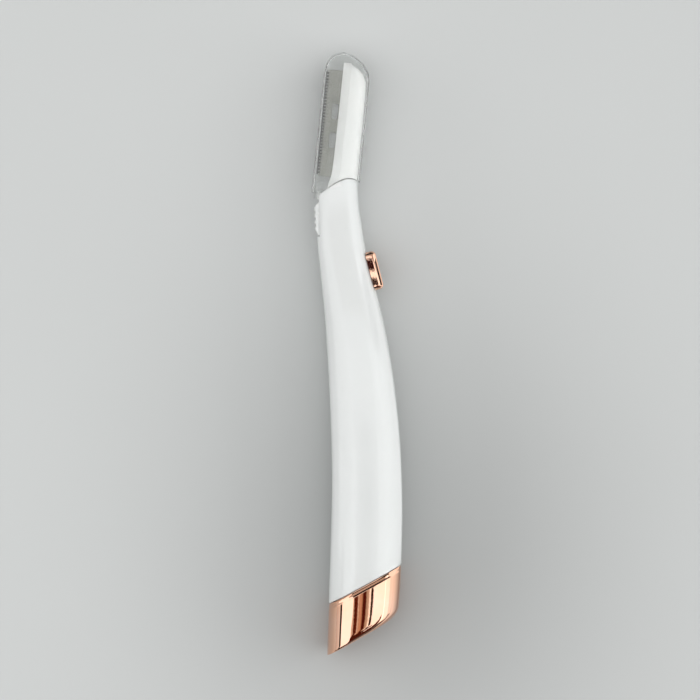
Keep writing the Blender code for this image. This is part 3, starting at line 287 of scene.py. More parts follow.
def shade(value):
    # a grey may be written as one number
    return (*value, 1) if isinstance(value, tuple) else (value, value, value, 1)


def remap(tree, place, span, result=(0.0, 1.0), **settings):
    ends = zip(("From Min", "From Max", "To Min", "To Max"), (*span, *result))
    return addNode(tree, "ShaderNodeMapRange", place, **dict(ends), **settings)


def mathNode(tree, place, operation, second=None, kind="ShaderNodeMath"):
    node = addNode(tree, kind, place, operation=operation)
    if second is not None:
        node.inputs[1].default_value = second
    return node


def mixColours(tree, place, second=0, first=0):
    # sockets 0, 6, 7 and output 2 are the factor, the two colours and the result
    node = addNode(tree, "ShaderNodeMix", place, data_type="RGBA")
    node.inputs[6].default_value = shade(first)
    node.inputs[7].default_value = shade(second)
    return node


def newMaterial(name, settings):
    material = bpy.data.materials.new(name)
    material.use_nodes = True
    shader = material.node_tree.nodes["Principled BSDF"]
    for label, value in settings.items():
        shader.inputs[label].default_value = value
    return material, material.node_tree, shader


# What all finishes share
finishBase = {
    "coatRoughness": 0.05,
    "depthScale": 0.003,
    "cloudSpan": (0.35, 0.65),
    "grainSpan": (0.3, 0.7),
    "wornSpan": (0.53, 0.62),
}


def surface(name, colour, tint, roughness, grain, grainDepth, wear=None, metallic=0.0, coat=0.0,
            stretch=(1, 1, 1), transmission=0.0, ior=1.5, cloud=180, depth=0.0):
    # colour and tint are the two ends of a soft cloud; roughness is (low, high); depth lets light in
    # grain is the scale of the fine relief per metre, stretch draws it out, wear tints the edges
    material, tree, shader = newMaterial(name, {
        "Metallic": metallic, "Coat Weight": coat, "Coat Roughness": finishBase["coatRoughness"],
        "Transmission Weight": transmission, "IOR": ior, "Subsurface Weight": depth,
        "Subsurface Radius": (1.0, 1.0, 1.0), "Subsurface Scale": finishBase["depthScale"]})
    shader.location = (500, 0)
    where = addNode(tree, "ShaderNodeTexCoord", (-1100, 0))
    turn = addNode(tree, "ShaderNodeMapping", (-900, -200), Scale=stretch)
    soft = addNode(tree, "ShaderNodeTexNoise", (-700, 200), Scale=cloud, Detail=4.0, Roughness=0.55)
    fine = addNode(tree, "ShaderNodeTexNoise", (-700, -200), Scale=grain, Detail=5.0, Roughness=0.6)
    spreadOut = remap(tree, (-450, 200), finishBase["cloudSpan"])
    last = mixColours(tree, (-100, 200), tint, colour)
    rough = remap(tree, (-100, -50), finishBase["grainSpan"], roughness)
    relief = addNode(tree, "ShaderNodeBump", (200, -300), Strength=1.0, Distance=grainDepth)
    wire(tree, (where, "Object", turn, "Vector"), (where, "Object", soft, "Vector"),
         (turn, "Vector", fine, "Vector"), (soft, "Fac", spreadOut, "Value"), (spreadOut, "Result", last, 0),
         (fine, "Fac", rough, "Value"), (rough, "Result", shader, "Roughness"),
         (fine, "Fac", relief, "Height"), (relief, "Normal", shader, "Normal"))
    if wear:
        shape = addNode(tree, "ShaderNodeNewGeometry", (-700, 500))
        edge = remap(tree, (-450, 500), finishBase["wornSpan"])
        worn = mixColours(tree, (150, 300), wear)
        wire(tree, (shape, "Pointiness", edge, "Value"), (edge, "Result", worn, 0), (last, 2, worn, 6))
        last = worn
    wire(tree, (last, 2, shader, "Base Color"))
    return material


finishes = {
    "glossWhite": dict(
        colour=(0.765, 0.785, 0.775), tint=(0.75, 0.77, 0.76), roughness=(0.08, 0.12), ior=1.6, depth=0.4,
        grain=2600, grainDepth=9e-7, wear=(0.86, 0.87, 0.86), cloud=60),
    "satinWhite": dict(
        colour=(0.72, 0.73, 0.72), tint=(0.68, 0.69, 0.67), roughness=(0.34, 0.46),
        grain=5200, grainDepth=4e-6, wear=(0.8, 0.8, 0.79)),
    "roseGold": dict(
        colour=(0.9, 0.56, 0.42), tint=(0.88, 0.52, 0.36), roughness=(0.008, 0.025),
        grain=1800, grainDepth=6e-7, metallic=1.0, wear=(0.94, 0.62, 0.46), cloud=90),
    "carrierWhite": dict(
        colour=(0.93, 0.935, 0.92), tint=(0.915, 0.92, 0.905), roughness=(0.16, 0.22),
        grain=2600, grainDepth=9e-7, wear=(0.92, 0.92, 0.91), cloud=60),
    "clearPlastic": dict(
        colour=(0.94, 0.945, 0.94), tint=(0.93, 0.94, 0.935), roughness=(0.025, 0.04), coat=0.35,
        grain=120, grainDepth=3e-7, transmission=0.95, ior=1.1, cloud=60),
    "bladeSteel": dict(
        colour=(0.226, 0.229, 0.204), tint=(0.195, 0.198, 0.177), roughness=(0.42, 0.52), grain=900,
        grainDepth=1.6e-6, metallic=1.0, stretch=(26, 1, 26), wear=(0.262, 0.265, 0.24)),
    "guardSteel": dict(
        colour=(0.03, 0.031, 0.028), tint=(0.022, 0.023, 0.021), roughness=(0.28, 0.42),
        grain=7000, grainDepth=2e-6, metallic=1.0, wear=(0.05, 0.05, 0.047)),
    "springSteel": dict(
        colour=(0.62, 0.61, 0.58), tint=(0.55, 0.545, 0.52), roughness=(0.18, 0.32), grain=3000,
        grainDepth=2e-6, metallic=1.0, stretch=(1, 9, 1), wear=(0.75, 0.74, 0.71)),
    "boardGreen": dict(
        colour=(0.028, 0.155, 0.075), tint=(0.02, 0.115, 0.055), roughness=(0.26, 0.4),
        grain=3800, grainDepth=6e-6, wear=(0.16, 0.22, 0.12), coat=0.4),
    "copperWire": dict(
        colour=(0.66, 0.33, 0.17), tint=(0.55, 0.26, 0.13), roughness=(0.24, 0.4), grain=2600,
        grainDepth=3e-6, metallic=1.0, stretch=(1, 12, 1), wear=(0.8, 0.48, 0.3)),
    "blackPlastic": dict(
        colour=(0.022, 0.022, 0.024), tint=(0.032, 0.032, 0.034), roughness=(0.32, 0.5),
        grain=9000, grainDepth=4e-6, wear=(0.07, 0.07, 0.07)),
    "redInsulation": dict(
        colour=(0.46, 0.03, 0.025), tint=(0.38, 0.022, 0.02), roughness=(0.34, 0.48),
        grain=4200, grainDepth=4e-6, wear=(0.55, 0.06, 0.05)),
    "blackInsulation": dict(
        colour=(0.018, 0.018, 0.02), tint=(0.03, 0.03, 0.032), roughness=(0.34, 0.48),
        grain=4200, grainDepth=4e-6, wear=(0.06, 0.06, 0.06)),
    "ceramic": dict(
        colour=(0.5, 0.4, 0.27), tint=(0.44, 0.35, 0.23), roughness=(0.36, 0.5),
        grain=6200, grainDepth=4e-6, wear=(0.6, 0.5, 0.36)),
}
materials = {name: surface(name, **values) for name, values in finishes.items()}
print("materials:", len(materials))


def topLine(lift=0.0, flatBelow=-1.0):
    # the slanted mouth of the handle, raised by lift and nowhere below flatBelow
    places = spread(handle["topLine"][0][0], handle["topLine"][-1][0], 90)
    return [(x, max(smooth(handle["topLine"], x) + lift, flatBelow)) for x in places]


def cutBelow(obj, line):
    foot = 0.03
    combine(obj, prism("below", [(line[0][0], foot), *line, (line[-1][0], foot)]))


# The slide switch on the spine, in metres
switch = {
    "at": (0.00215, 0.0435),
    "tilt": math.radians(14.3),
    "length": 0.0107,
    "width": 0.0064,
    "proud": 0.0019,
    "seat": 0.00025,
    "seatRings": (0.032, 0.056, 60),
    "edgeRound": 0.00008,
    "corner": 0.0013,
    "stemLength": 0.004,
    "stemWidth": 0.0024,
    "stemGap": 0.0003,
    "travel": 0.002,
    "foot": -0.0026,
    "stemLow": -0.00255,
    "forkTop": -0.0015,
    "forkHalf": 0.00085,
    "flatFrom": 0.000004,
}
switchFrame = standAt((*switch["at"], 0), switch["tilt"])


def shellPiece(side):
    lift = handle["partingGap"] / 2
    rings = []
    for y in spread(handle["shellFrom"], handle["shellTo"], handle["rings"]):
        outer = arc(y, lift=lift)
        inner = arc(y, handle["wall"], handle["innerPoints"], lift)
        rings.append([(x, at, side * z) for x, at, z in outer + inner[::-1]])
    shell = loft("handle_half_left" if side > 0 else "handle_half_right", rings)
    far = 0.06  # past the handle on every side
    foot = block("belowSeam", (-far, -far, -far), (far, 0, far))
    seam = (0, handle["seamHeight"] + handle["seamGap"], 0)
    combine(shell, place(foot, standAt(seam, handle["seamTilt"])))
    line = topLine()
    combine(shell, prism("aboveMouth", [(line[0][0], 2 * far), (line[-1][0], 2 * far), *line[::-1]]))
    combine(shell, block("bellySlot", (-0.02, handle["slotStart"], -handle["slotHalfWidth"]),
                         (handle["slotDepthX"], 0.09, handle["slotHalfWidth"])))
    reach = switch["stemLength"] / 2 + switch["travel"] / 2 + switch["stemGap"]
    half = switch["stemWidth"] / 2 + switch["stemGap"]
    middle = switch["travel"] / 2
    slot = block("spineSlot", (-0.004, middle - reach, -half), (0.004, middle + reach, half))
    combine(shell, place(slot, switchFrame))
    roundEdges(shell, handle["edgeRound"], 2, 40)
    return place(shell, onMidPlane)


finishPiece(shellPiece(1), "handle", "glossWhite", "left_handle_shell")
finishPiece(shellPiece(-1), "handle", "glossWhite", "right_handle_shell")
print("handle shells done")

# The battery cap: its slanted rings run from the foot, up the outside, and down inside to the floor
endCap = {
    "footHeight": -0.05582,
    "footTilt": math.radians(29.3),
    "wall": 0.0012,
    "floor": 0.0014,
    "footRound": (0.0003, 0.002),
    "footRises": (0, 0.00004, 0.0001, 0.00018, 0.0003, 0.00045, 0.0006, 0.0008, 0.001, 0.00125, 0.0016),
    "sideFrom": 0.002,
    # the rim steps in twice on its way up to the seam: (distance below the seam, how far in)
    "rim": ((0.00134, 0.0), (0.00128, 0.00001), (0.00125, 0.00003), (0.00107, 0.00013),
            (0.00089, 0.000235), (0.00086, 0.000245), (0.00082, 0.000255), (0.00065, 0.000292),
            (0.00048, 0.00033), (0.00045, 0.000338), (0.00042, 0.00035), (0.00025, 0.000422),
            (0.00008, 0.000494), (0.00003, 0.00051)),
    "rimFade": 0.1,
    "rimAtSides": 0.25,
    "plugGap": 0.0003,
    "plugRise": 0.005,
    "boreRadius": 0.00555,
    "boreX": 0.0001,
    "insideRings": (0.99, 0.2, 12),
    "plugRound": 0.00012,
    "contactX": 0.00525,
    "contactRise": 0.0012,
    "channel": (0.003, 0.00715, 0.0022),
}


def slantedRing(share, inset):
    # share runs from the plane of the foot to that of the seam; inset may depend on the side
    height = endCap["footHeight"] + (handle["seamHeight"] - endCap["footHeight"]) * share
    slope = math.tan(endCap["footTilt"]) * (1 - share) + math.tan(handle["seamTilt"]) * share
    belly, spine = smooth(handle["belly"], height), smooth(handle["spine"], height)
    found = []
    for i in range(len(fullSection(height))):
        y, draw = height, 0.0
        for _ in range(5):  # each round brings the point nearer to the slanted plane
            x = fullSection(y, draw)[i][0]
            y = height + x * slope
            draw = inset((x - belly) / (spine - belly)) if callable(inset) else inset
        found.append(fullSection(y, draw)[i])
    return found


def footInset(rise):
    # the rounded foot; its radius grows from the belly to the spine
    small, large = endCap["footRound"]

    def at(side):
        radius = small + (large - small) * min(max(side, 0), 1)
        left = max(radius - rise, 0)
        return radius - math.sqrt(radius ** 2 - left ** 2)
    return at


def rimInset(draw):
    # less deep at the two sides, so the outline stays even
    def at(side):
        near = min(max(min(side, 1 - side) / endCap["rimFade"], 0), 1)
        return draw * (endCap["rimAtSides"] + (1 - endCap["rimAtSides"]) * near)
    return at


def endCapPiece():
    wall, rim, tilt = endCap["wall"], endCap["rim"], endCap["footTilt"]
    tall = (handle["seamHeight"] - endCap["footHeight"]) * math.cos(tilt)
    small = 0.00005
    stops = [(rise / tall, footInset(rise)) for rise in endCap["footRises"]]
    stops += [(rise / tall, 0.0) for rise in spread(endCap["sideFrom"], tall - rim[0][0] - 0.00004, 18)]
    stops += [(1 - below / tall, rimInset(draw)) for below, draw in rim]
    stops += [(1.0, rimInset(rim[-1][1] + small)), (1.0, wall - small)]
    stops += [(share, wall) for share in spread(*endCap["insideRings"])]
    stops += [(endCap["floor"] / tall, wall + 0.0002)]
    return place(loft("battery_cap", [slantedRing(share, inset) for share, inset in stops]), onMidPlane)


def plugPiece():
    foot, tilt, floor, gap = (endCap[name] for name in ("footHeight", "footTilt", "floor", "plugGap"))
    inset = endCap["wall"] + gap
    tall = handle["seamHeight"] - foot
    low = (floor + gap) / math.cos(tilt) / tall
    top = 1 + endCap["plugRise"] / tall
    stops = [(low, inset + 0.0004), (low + 0.03, inset)]
    stops += [(share, inset) for share in spread(low + 0.06, top - 0.06, 16)]
    stops += [(top - 0.04, inset + 0.0001), (top, inset + 0.00035)]
    plug = loft("cap_plug", [slantedRing(share, draw) for share, draw in stops])
    contactFloor = foot + endCap["contactX"] * math.tan(tilt) + floor / math.cos(tilt) + endCap["contactRise"]
    bore = rod("bore", endCap["boreRadius"], 0, 0.04, 64)
    combine(plug, place(bore, alongY((endCap["boreX"], contactFloor, 0))))
    near, far, half = endCap["channel"]
    combine(plug, block("channel", (near, contactFloor, -half), (far, 0.0, half)))
    roundEdges(plug, endCap["plugRound"], 2, 50)
    return place(plug, onMidPlane)


finishPiece(endCapPiece(), "end_cap", "roseGold", "end_cap_shell", 50)
finishPiece(plugPiece(), "end_cap", "satinWhite", "end_cap_plug")
print("end cap done")


def buttonPiece():
    long, wide, low = switch["length"] / 2, switch["width"] / 2, switch["stemLow"]
    button = block("slide_button", (switch["foot"], -long, -wide), (switch["proud"], long, wide))
    roundEdges(button, switch["corner"], 10, 40)
    place(button, switchFrame)
    seat = [fullSection(y, -switch["seat"], handle["finePoints"]) for y in spread(*switch["seatRings"])]
    combine(button, loft("seat", seat))
    roundEdges(button, switch["edgeRound"], 2, 50)
    long, wide, half = switch["stemLength"] / 2, switch["stemWidth"] / 2, switch["forkHalf"]
    stem = block("stem", (low, -long, -wide), (switch["proud"] / 2, long, wide))
    combine(button, place(stem, switchFrame), "UNION")
    fork = block("fork", (low - 0.001, -half, -0.004), (switch["forkTop"], half, 0.004))
    combine(button, place(fork, switchFrame))
    return place(button, onMidPlane)


finishPiece(buttonPiece(), "switch", "roseGold", "switch_button", 40, switch["flatFrom"])
print("slide button done")

# The replaceable head: u runs across it, v along it, from the middle of the shoulder
head = {
    "at": (-0.00796, 0.06646),
    "tilt": math.radians(-5.5),
    "back": ((-0.006, 0.0058), (0.002, 0.00573), (0.0285, 0.0056), (0.031, 0.0046),
             (0.0325, 0.0034), (0.0336, 0.0013), (0.0342, -0.0004)),
    "front": ((-0.006, -0.003), (0.0, -0.0023), (0.003, -0.00155), (0.01, -0.00128), (0.0342, -0.00105)),
    "depth": ((-0.006, 0.0034), (0.029, 0.0034), (0.0318, 0.003), (0.0333, 0.0023), (0.0342, 0.0013)),
    "rings": ((-0.006, 0.0285, 30), (0.0288, 0.034, 18)),
    "cornerPoints": 20,
    "edgeRound": 0.00012,
    "frontHalfDepth": 0.0011,
    "facet": 0.0022,
    "stem": (-0.0013, 0.0042, 0.0028, 0.0092),
    "mouthGap": 0.0003,
    "groove": (0.0024, 0.0012, 0.032, 0.00035),
    "notch": (-0.0057, 0.001, 0.0005),
}
blade = {
    "edge": -0.0052,
    "back": 0.001,
    "foot": 0.0026,
    "tip": 0.0318,
    "thickness": 0.0003,
    "bevel": 0.0013,
    "bevelMiddle": 0.32,
    "slot": (0.0017, 0.0042),
    "slotShift": -0.00225,
    "slotHeights": (0.0126, 0.0205),
    "slotPoints": 32,
    "edgeRound": 0.00003,
    "flatFrom": 0.000004,
}
headFrame = standAt((*head["at"], 0), head["tilt"])


def holderRing(v):
    front, back, deep = (smooth(head[line], v) for line in ("front", "back", "depth"))
    crown = front + head["facet"]
    upper = [(back, v, 0.0)]
    for i in range(1, head["cornerPoints"]):
        angle = math.pi / 2 * i / (head["cornerPoints"] - 1)
        upper.append((crown + (back - crown) * math.cos(angle), v, deep * math.sin(angle)))
    upper.append((front, v, min(head["frontHalfDepth"], deep * 0.8)))
    return upper + [(x, at, -z) for x, at, z in reversed(upper[1:])]


def holderPiece():
    rings = [holderRing(v) for v in spreadRuns(head["rings"])]
    holder = place(loft("blade_carrier", rings), headFrame)
    cutBelow(holder, topLine(head["mouthGap"]))
    left, wide, deep, tall = head["stem"]
    stem = block("stem", (left, -tall, -deep / 2), (left + wide, 0.006, deep / 2))
    combine(holder, place(stem, headFrame), "UNION")
    foot, back, tip, half = head["groove"]
    combine(holder, place(block("groove", (-0.006, foot, -half), (back, tip, half)), headFrame))
    middle, half, deep = head["notch"]
    notch = block("notch", (left - 0.001, middle - half, -0.004), (left + deep, middle + half, 0.004))
    combine(holder, place(notch, headFrame))
    roundEdges(holder, head["edgeRound"], 2, 42)
    return place(holder, onMidPlane)


def bladePiece():
    half, edge, bevel = blade["thickness"] / 2, blade["edge"], blade["bevel"]
    upper = [(blade["back"], half), (edge + bevel, half), (edge + bevel * blade["bevelMiddle"], 0.00006),
             (edge, 0.00002)]
    section = upper + [(x, -z) for x, z in reversed(upper)]
    strip = loft("blade_strip", [[(x, v, z) for x, z in section] for v in (blade["foot"], blade["tip"])])
    wide, long = blade["slot"]
    for v in blade["slotHeights"]:
        outline = []
        for k in range(blade["slotPoints"]):
            angle = 2 * math.pi * k / blade["slotPoints"]
            across, along = math.cos(angle), math.sin(angle)
            outline.append((blade["slotShift"] + wide / 2 * math.copysign(abs(across) ** 0.5, across),
                            v + long / 2 * math.copysign(abs(along) ** 0.3, along)))
        combine(strip, prism("slot", outline, 0.002))
    roundEdges(strip, blade["edgeRound"], 1, 60)
    return place(strip, onMidPlane @ headFrame)


finishPiece(holderPiece(), "head", "carrierWhite", "blade_holder")
finishPiece(bladePiece(), "head", "bladeSteel", "razor_blade", 12, blade["flatFrom"])
print("head done")

# The clear cap over the head
clearCap = {
    "top": 0.0369,
    "left": ((-0.006, -0.00652), (0.028, -0.00622), (0.0322, -0.00608), (0.0342, -0.0055),
             (0.0355, -0.0046), (0.0364, -0.0032), (0.0369, -0.0014)),
    "right": ((-0.006, 0.0066), (0.002, 0.00645), (0.0285, 0.0064), (0.0312, 0.00612),
              (0.0326, 0.0055), (0.0342, 0.0042), (0.0355, 0.00255), (0.0364, 0.0009),
              (0.0369, -0.0012)),
    "depth": ((-0.006, 0.005), (0.0285, 0.0046), (0.0322, 0.0042), (0.0342, 0.0036),
              (0.0355, 0.0028), (0.0364, 0.0018), (0.0369, 0.0004)),
    "power": 0.62,
    "wall": 0.0005,
    "rimHeight": 0.0649,
    "rimGap": 0.0003,
    "points": 128,
    "crowding": 0.6,
    "roof": 1.2,
    "rings": ((-0.006, 0.03, 36), (0.0304, 0.0366, 26)),
    "roofRings": (0.03672, 0.03682, 0.0369),
    "edgeRound": 0.0001,
}


def clearRing(v, wall):
    left, right, deep = (smooth(clearCap[line], v) for line in ("left", "right", "depth"))
    middle, half = (left + right) / 2, (right - left) / 2
    shrinkU = 1 - wall / clearCap["right"][0][1]
    shrinkZ = 1 - wall / clearCap["depth"][0][1]
    raised = v * (1 - wall * clearCap["roof"] / clearCap["top"])
    found = []
    for i in range(clearCap["points"]):
        angle = 2 * math.pi * i / clearCap["points"]
        angle -= clearCap["crowding"] / 2 * math.sin(2 * angle)
        across, up = math.cos(angle), math.sin(angle)
        u = middle + half * math.copysign(abs(across) ** clearCap["power"], across)
        z = deep * math.copysign(abs(up) ** clearCap["power"], up)
        found.append((u * shrinkU, raised, z * shrinkZ))
    return found


def clearCapPiece():
    heights = [*spreadRuns(clearCap["rings"]), *clearCap["roofRings"]]
    cap = loft("clear_cover", [clearRing(v, 0.0) for v in heights])
    combine(cap, loft("hollow", [clearRing(v, clearCap["wall"]) for v in heights]))
    place(cap, headFrame)
    cutBelow(cap, topLine(clearCap["rimGap"], clearCap["rimHeight"]))
    roundEdges(cap, clearCap["edgeRound"], 2, 50)
    return place(cap, onMidPlane)


finishPiece(clearCapPiece(), "clear_cap", "clearPlastic", "protective_cap", 40)
print("clear cap done")

# The ribbed release pad and its pin's boss
release = {
    "start": 0.0533,
    "end": 0.0622,
    "halfWidth": 0.00265,
    "proud": 0.00005,
    "thickness": 0.0016,
    "ribs": 4,
    "pitch": 0.00178,
    "ribSteps": 24,
    "ribPower": 0.8,
    "firstRib": 0.0008,
    "ribHeight": 0.00045,
    "pivotY": 0.0581,
    "pivotInset": 0.00165,
    "pinRadius": 0.0003,
    "pinGap": 0.00015,
    "bossWall": 0.0003,
    "outerRings": (0.05, 0.066, 30),
    "edgeRound": 0.00008,
    "latch": (-0.0057, 0.0007, 0.003),
    "latchGap": 0.00018,
}


def bellyPoint(y, inset):
    return smooth(handle["belly"], y) + inset, y


def releasePiece():
    low, high, half, steps = release["start"], release["end"], release["halfWidth"], release["ribSteps"]
    outside = []
    for i in range(steps * release["ribs"] + 1):
        y = low + release["firstRib"] + release["pitch"] * i / steps
        wave = (0.5 - 0.5 * math.cos(2 * math.pi * i / steps)) ** release["ribPower"]
        outside.append((smooth(handle["belly"], y) - release["proud"] - release["ribHeight"] * wave, y))
    inside = [bellyPoint(y, release["thickness"]) for y in spread(low, high, 9)]
    outline = [bellyPoint(low, 0.0003), *outside, bellyPoint(high, 0.0008), *inside[::-1]]
    pad = prism("ribbed_pad", outline, half)
    inset = -release["ribHeight"] - release["proud"]
    around = [fullSection(y, inset, handle["finePoints"]) for y in spread(*release["outerRings"])]
    combine(pad, loft("rounding", around), "INTERSECT")
    roundEdges(pad, release["edgeRound"], 2, 60)
    toPivot = standAt((*bellyPoint(release["pivotY"], release["pivotInset"]), 0))
    room = release["pinRadius"] + release["pinGap"]
    combine(pad, place(rod("boss", room + release["bossWall"], -half, half, 40), toPivot), "UNION")
    middle, thick, reach = release["latch"]
    right = head["stem"][0] - release["latchGap"] + 0.0001
    nose = block("nose", (right - reach, middle - thick, -thick), (right, middle + thick, thick))
    combine(pad, place(nose, headFrame), "UNION")
    combine(pad, place(rod("hole", room, -0.01, 0.01, 40), toPivot))
    return place(pad, onMidPlane)


finishPiece(releasePiece(), "release", "glossWhite", "release_button", 50)
print("release pad done")

# The clear lens under the cover's rim, and the lamp in it
lamp = {
    "shift": -0.00412,
    "radius": 0.00168,
    "top": 0.0014,
    "foot": -0.0037,
    "bore": 0.0009,
    "lampRadius": 0.00065,
    "lampNeck": 0.94,
    "roof": 0.0006,
    "lampGap": 0.0006,
}
lampFrame = (onMidPlane @ headFrame @ Matrix.Translation((lamp["shift"], 0, 0))
             @ Matrix.Rotation(-math.pi / 2, 4, "X"))
boreTop = lamp["top"] - lamp["radius"] - lamp["roof"]


def lensPiece():
    radius, bore, top, foot, rise = lamp["radius"], lamp["bore"], lamp["top"], lamp["foot"], 0.0004
    dome = [(radius * math.sin(a), top - radius * (1 - math.cos(a))) for a in spread(0, math.pi / 2, 20)]
    roof = [(bore * math.cos(a), boreTop - rise + rise * math.sin(a)) for a in spread(0, math.pi / 2, 10)]
    profile = dome + [(radius, foot + 0.0001), (radius - 0.0001, foot), (bore, foot)] + roof
    return place(turnedShape("lamp_cover", profile, 72), lampFrame)


def lampPiece():
    radius, top, foot = lamp["lampRadius"], boreTop - lamp["lampGap"], lamp["foot"] - 0.0001
    neck = radius * lamp["lampNeck"]
    crown = [(radius * math.sin(a), top - 0.0004 * (1 - math.cos(a))) for a in spread(0, math.pi / 2, 12)]
    profile = crown + [(radius, foot + 0.0006), (neck, foot + 0.00055), (neck, foot), (0, foot)]
    return place(turnedShape("lamp_body", profile, 48), lampFrame)


finishPiece(lensPiece(), "handle", "clearPlastic", "lamp_lens")
finishPiece(lampPiece(), "handle", "satinWhite", "lamp")
print("lamp and lens done")


def newGroup(name, inputs):
    group = bpy.data.node_groups.new(name, "GeometryNodeTree")
    group.interface.new_socket("Geometry", in_out="INPUT", socket_type="NodeSocketGeometry")
    for label, kind, value in inputs:
        socket = group.interface.new_socket(label, in_out="INPUT", socket_type="NodeSocket" + kind)
        socket.default_value = value
    group.interface.new_socket("Geometry", in_out="OUTPUT", socket_type="NodeSocketGeometry")
    return group, addNode(group, "NodeGroupInput", (-800, 0))


def closeGroup(group, last, output, material):
    real = addNode(group, "GeometryNodeRealizeInstances", (500, 0))
    finish = addNode(group, "GeometryNodeSetMaterial", (700, 0), Material=material)
    end = addNode(group, "NodeGroupOutput", (900, 0))
    wire(group, (last, output, real, "Geometry"), (real, "Geometry", finish, "Geometry"),
         (finish, "Geometry", end, 0))
    return group


def runGroup(obj, group, values):
    modifier = obj.modifiers.new("shape", "NODES")
    modifier.node_group = group
    names = {item.name: item.identifier for item in group.interface.items_tree if item.in_out == "INPUT"}
    for label, value in values.items():
        modifier[names[label]] = value
    bake(obj)
    return obj


def toothGroup(material):
    # puts one tooth at each place along V and keeps the rails that come in
    group, start = newGroup("guardTeeth", [
        ("Pitch", "Float", 0.00115), ("Tooth", "Float", 0.00042), ("Deep", "Float", 0.00096),
        ("Wide", "Float", 0.0011), ("Count", "Int", 24), ("Start", "Vector", (0, 0, 0))])
    tooth = addNode(group, "GeometryNodeMeshCube", (-400, -200))
    size = addNode(group, "ShaderNodeCombineXYZ", (-600, -200))
    step = addNode(group, "ShaderNodeCombineXYZ", (-600, 200))
    row = addNode(group, "GeometryNodeMeshLine", (-400, 200))
    teeth = addNode(group, "GeometryNodeInstanceOnPoints", (0, 100))
    both = addNode(group, "GeometryNodeJoinGeometry", (250, 0))
    wire(group, (start, "Wide", size, 0), (start, "Tooth", size, 1), (start, "Deep", size, 2),
         (size, 0, tooth, "Size"), (start, "Pitch", step, 1), (start, "Count", row, "Count"),
         (start, "Start", row, "Start Location"), (step, 0, row, "Offset"),
         (row, "Mesh", teeth, "Points"), (tooth, "Mesh", teeth, "Instance"),
         (teeth, "Instances", both, 0), (start, "Geometry", both, 0))
    return closeGroup(group, both, 0, material)


# The fine guard folded over the blade's edge
guard = {
    "wide": 0.0009,
    "halfDeep": 0.00048,
    "pitch": 0.00085,
    "tooth": 0.0005,
    "rail": 0.0003,
    "proud": 0.00048,
    "inset": 0.0004,
    "foldGap": 0.0001,
    "overEdge": 0.00004,
    "edgeRound": 0.00004,
}


def guardPiece():
    rail, wide, tooth, pitch, outer = (guard[name] for name in ("rail", "wide", "tooth", "pitch", "halfDeep"))
    left = blade["edge"] - guard["proud"]
    right = left + wide
    low, high = blade["foot"] + guard["inset"], blade["tip"] - guard["inset"]
    middle = (low + high) / 2
    fold = blade["thickness"] / 2 + guard["foldGap"]
    work = bmesh.new()
    for side in (1, -1):
        made = bmesh.ops.create_cube(work, size=1)["verts"]
        bmesh.ops.scale(work, vec=(rail, high - low, outer - fold), verts=made)
        bmesh.ops.translate(work, vec=(left + rail / 2, middle, side * (outer + fold) / 2), verts=made)
    rails = fromBmesh("edge_guard", work)
    count = int((high - low - tooth) / pitch) + 1
    runGroup(rails, toothGroup(materials["guardSteel"]), {
        "Pitch": pitch, "Tooth": tooth, "Deep": outer * 2, "Wide": wide, "Count": count,
        "Start": ((left + right) / 2, middle - (count - 1) * pitch / 2, 0)})
    slit = block("fold", (blade["edge"] - guard["overEdge"], low - 0.001, -fold),
                 (right + 0.001, high + 0.001, fold))
    combine(rails, slit, crossing=True)
    roundEdges(rails, guard["edgeRound"], 1, 50)
    return place(rails, onMidPlane @ headFrame)


finishPiece(guardPiece(), "head", "guardSteel", "blade_guard")
print("guard done")


def sweepGroup(material):
    # a round wire of one radius along the path that comes in
    group, start = newGroup("sweptWire", [
        ("Radius", "Float", 0.0002), ("Sides", "Int", 16), ("Steps", "Int", 120)])
    path = addNode(group, "GeometryNodeMeshToCurve", (-500, 100))
    even = addNode(group, "GeometryNodeResampleCurve", (-300, 100))
    ring = addNode(group, "GeometryNodeCurvePrimitiveCircle", (-300, -150))
    body = addNode(group, "GeometryNodeCurveToMesh", (0, 0))
    body.inputs["Fill Caps"].default_value = True
    wire(group, (start, "Geometry", path, "Mesh"), (path, "Curve", even, "Curve"),
         (start, "Steps", even, "Count"), (start, "Sides", ring, "Resolution"),
         (start, "Radius", ring, "Radius"), (even, "Curve", body, "Curve"),
         (ring, "Curve", body, "Profile Curve"))
    return closeGroup(group, body, "Mesh", material)


springs = {
    "cap": {"top": 0.0026, "foot": 0.0042, "turns": 2.5, "wire": 0.0004},
    "release": {"top": 0.0008, "foot": 0.0008, "turns": 2.5, "wire": 0.00028},
    "points": 160,
    "sides": 16,
    "slack": 0.97,  # the wire is that much thinner, so it stays inside the solid's box
    "releaseY": 0.0553,
}


def coilPiece(name, values, tall):
    # the coil is drawn between its end planes, less half a wire at each
    work = bmesh.new()
    verts, thick = [], values["wire"]
    for t in spread(0, 1, springs["points"]):
        angle = 2 * math.pi * values["turns"] * t
        reach = values["foot"] + (values["top"] - values["foot"]) * t
        point = (reach * math.cos(angle), reach * math.sin(angle), thick / 2 + (tall - thick) * t)
        verts.append(work.verts.new(point))
    for pair in zip(verts, verts[1:]):
        work.edges.new(pair)
    return runGroup(fromBmesh(name, work), sweepGroup(materials["springSteel"]), {
        "Radius": thick / 2 * springs["slack"], "Sides": springs["sides"], "Steps": springs["points"]})


springLow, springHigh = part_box("cap_spring")
capSpring = coilPiece("cap_coil", springs["cap"], springHigh[1] - springLow[1])
place(capSpring, alongY((endCap["boreX"], springLow[1], midPlane)))
finishPiece(capSpring, "end_cap", "springSteel", "cap_spring", 60)

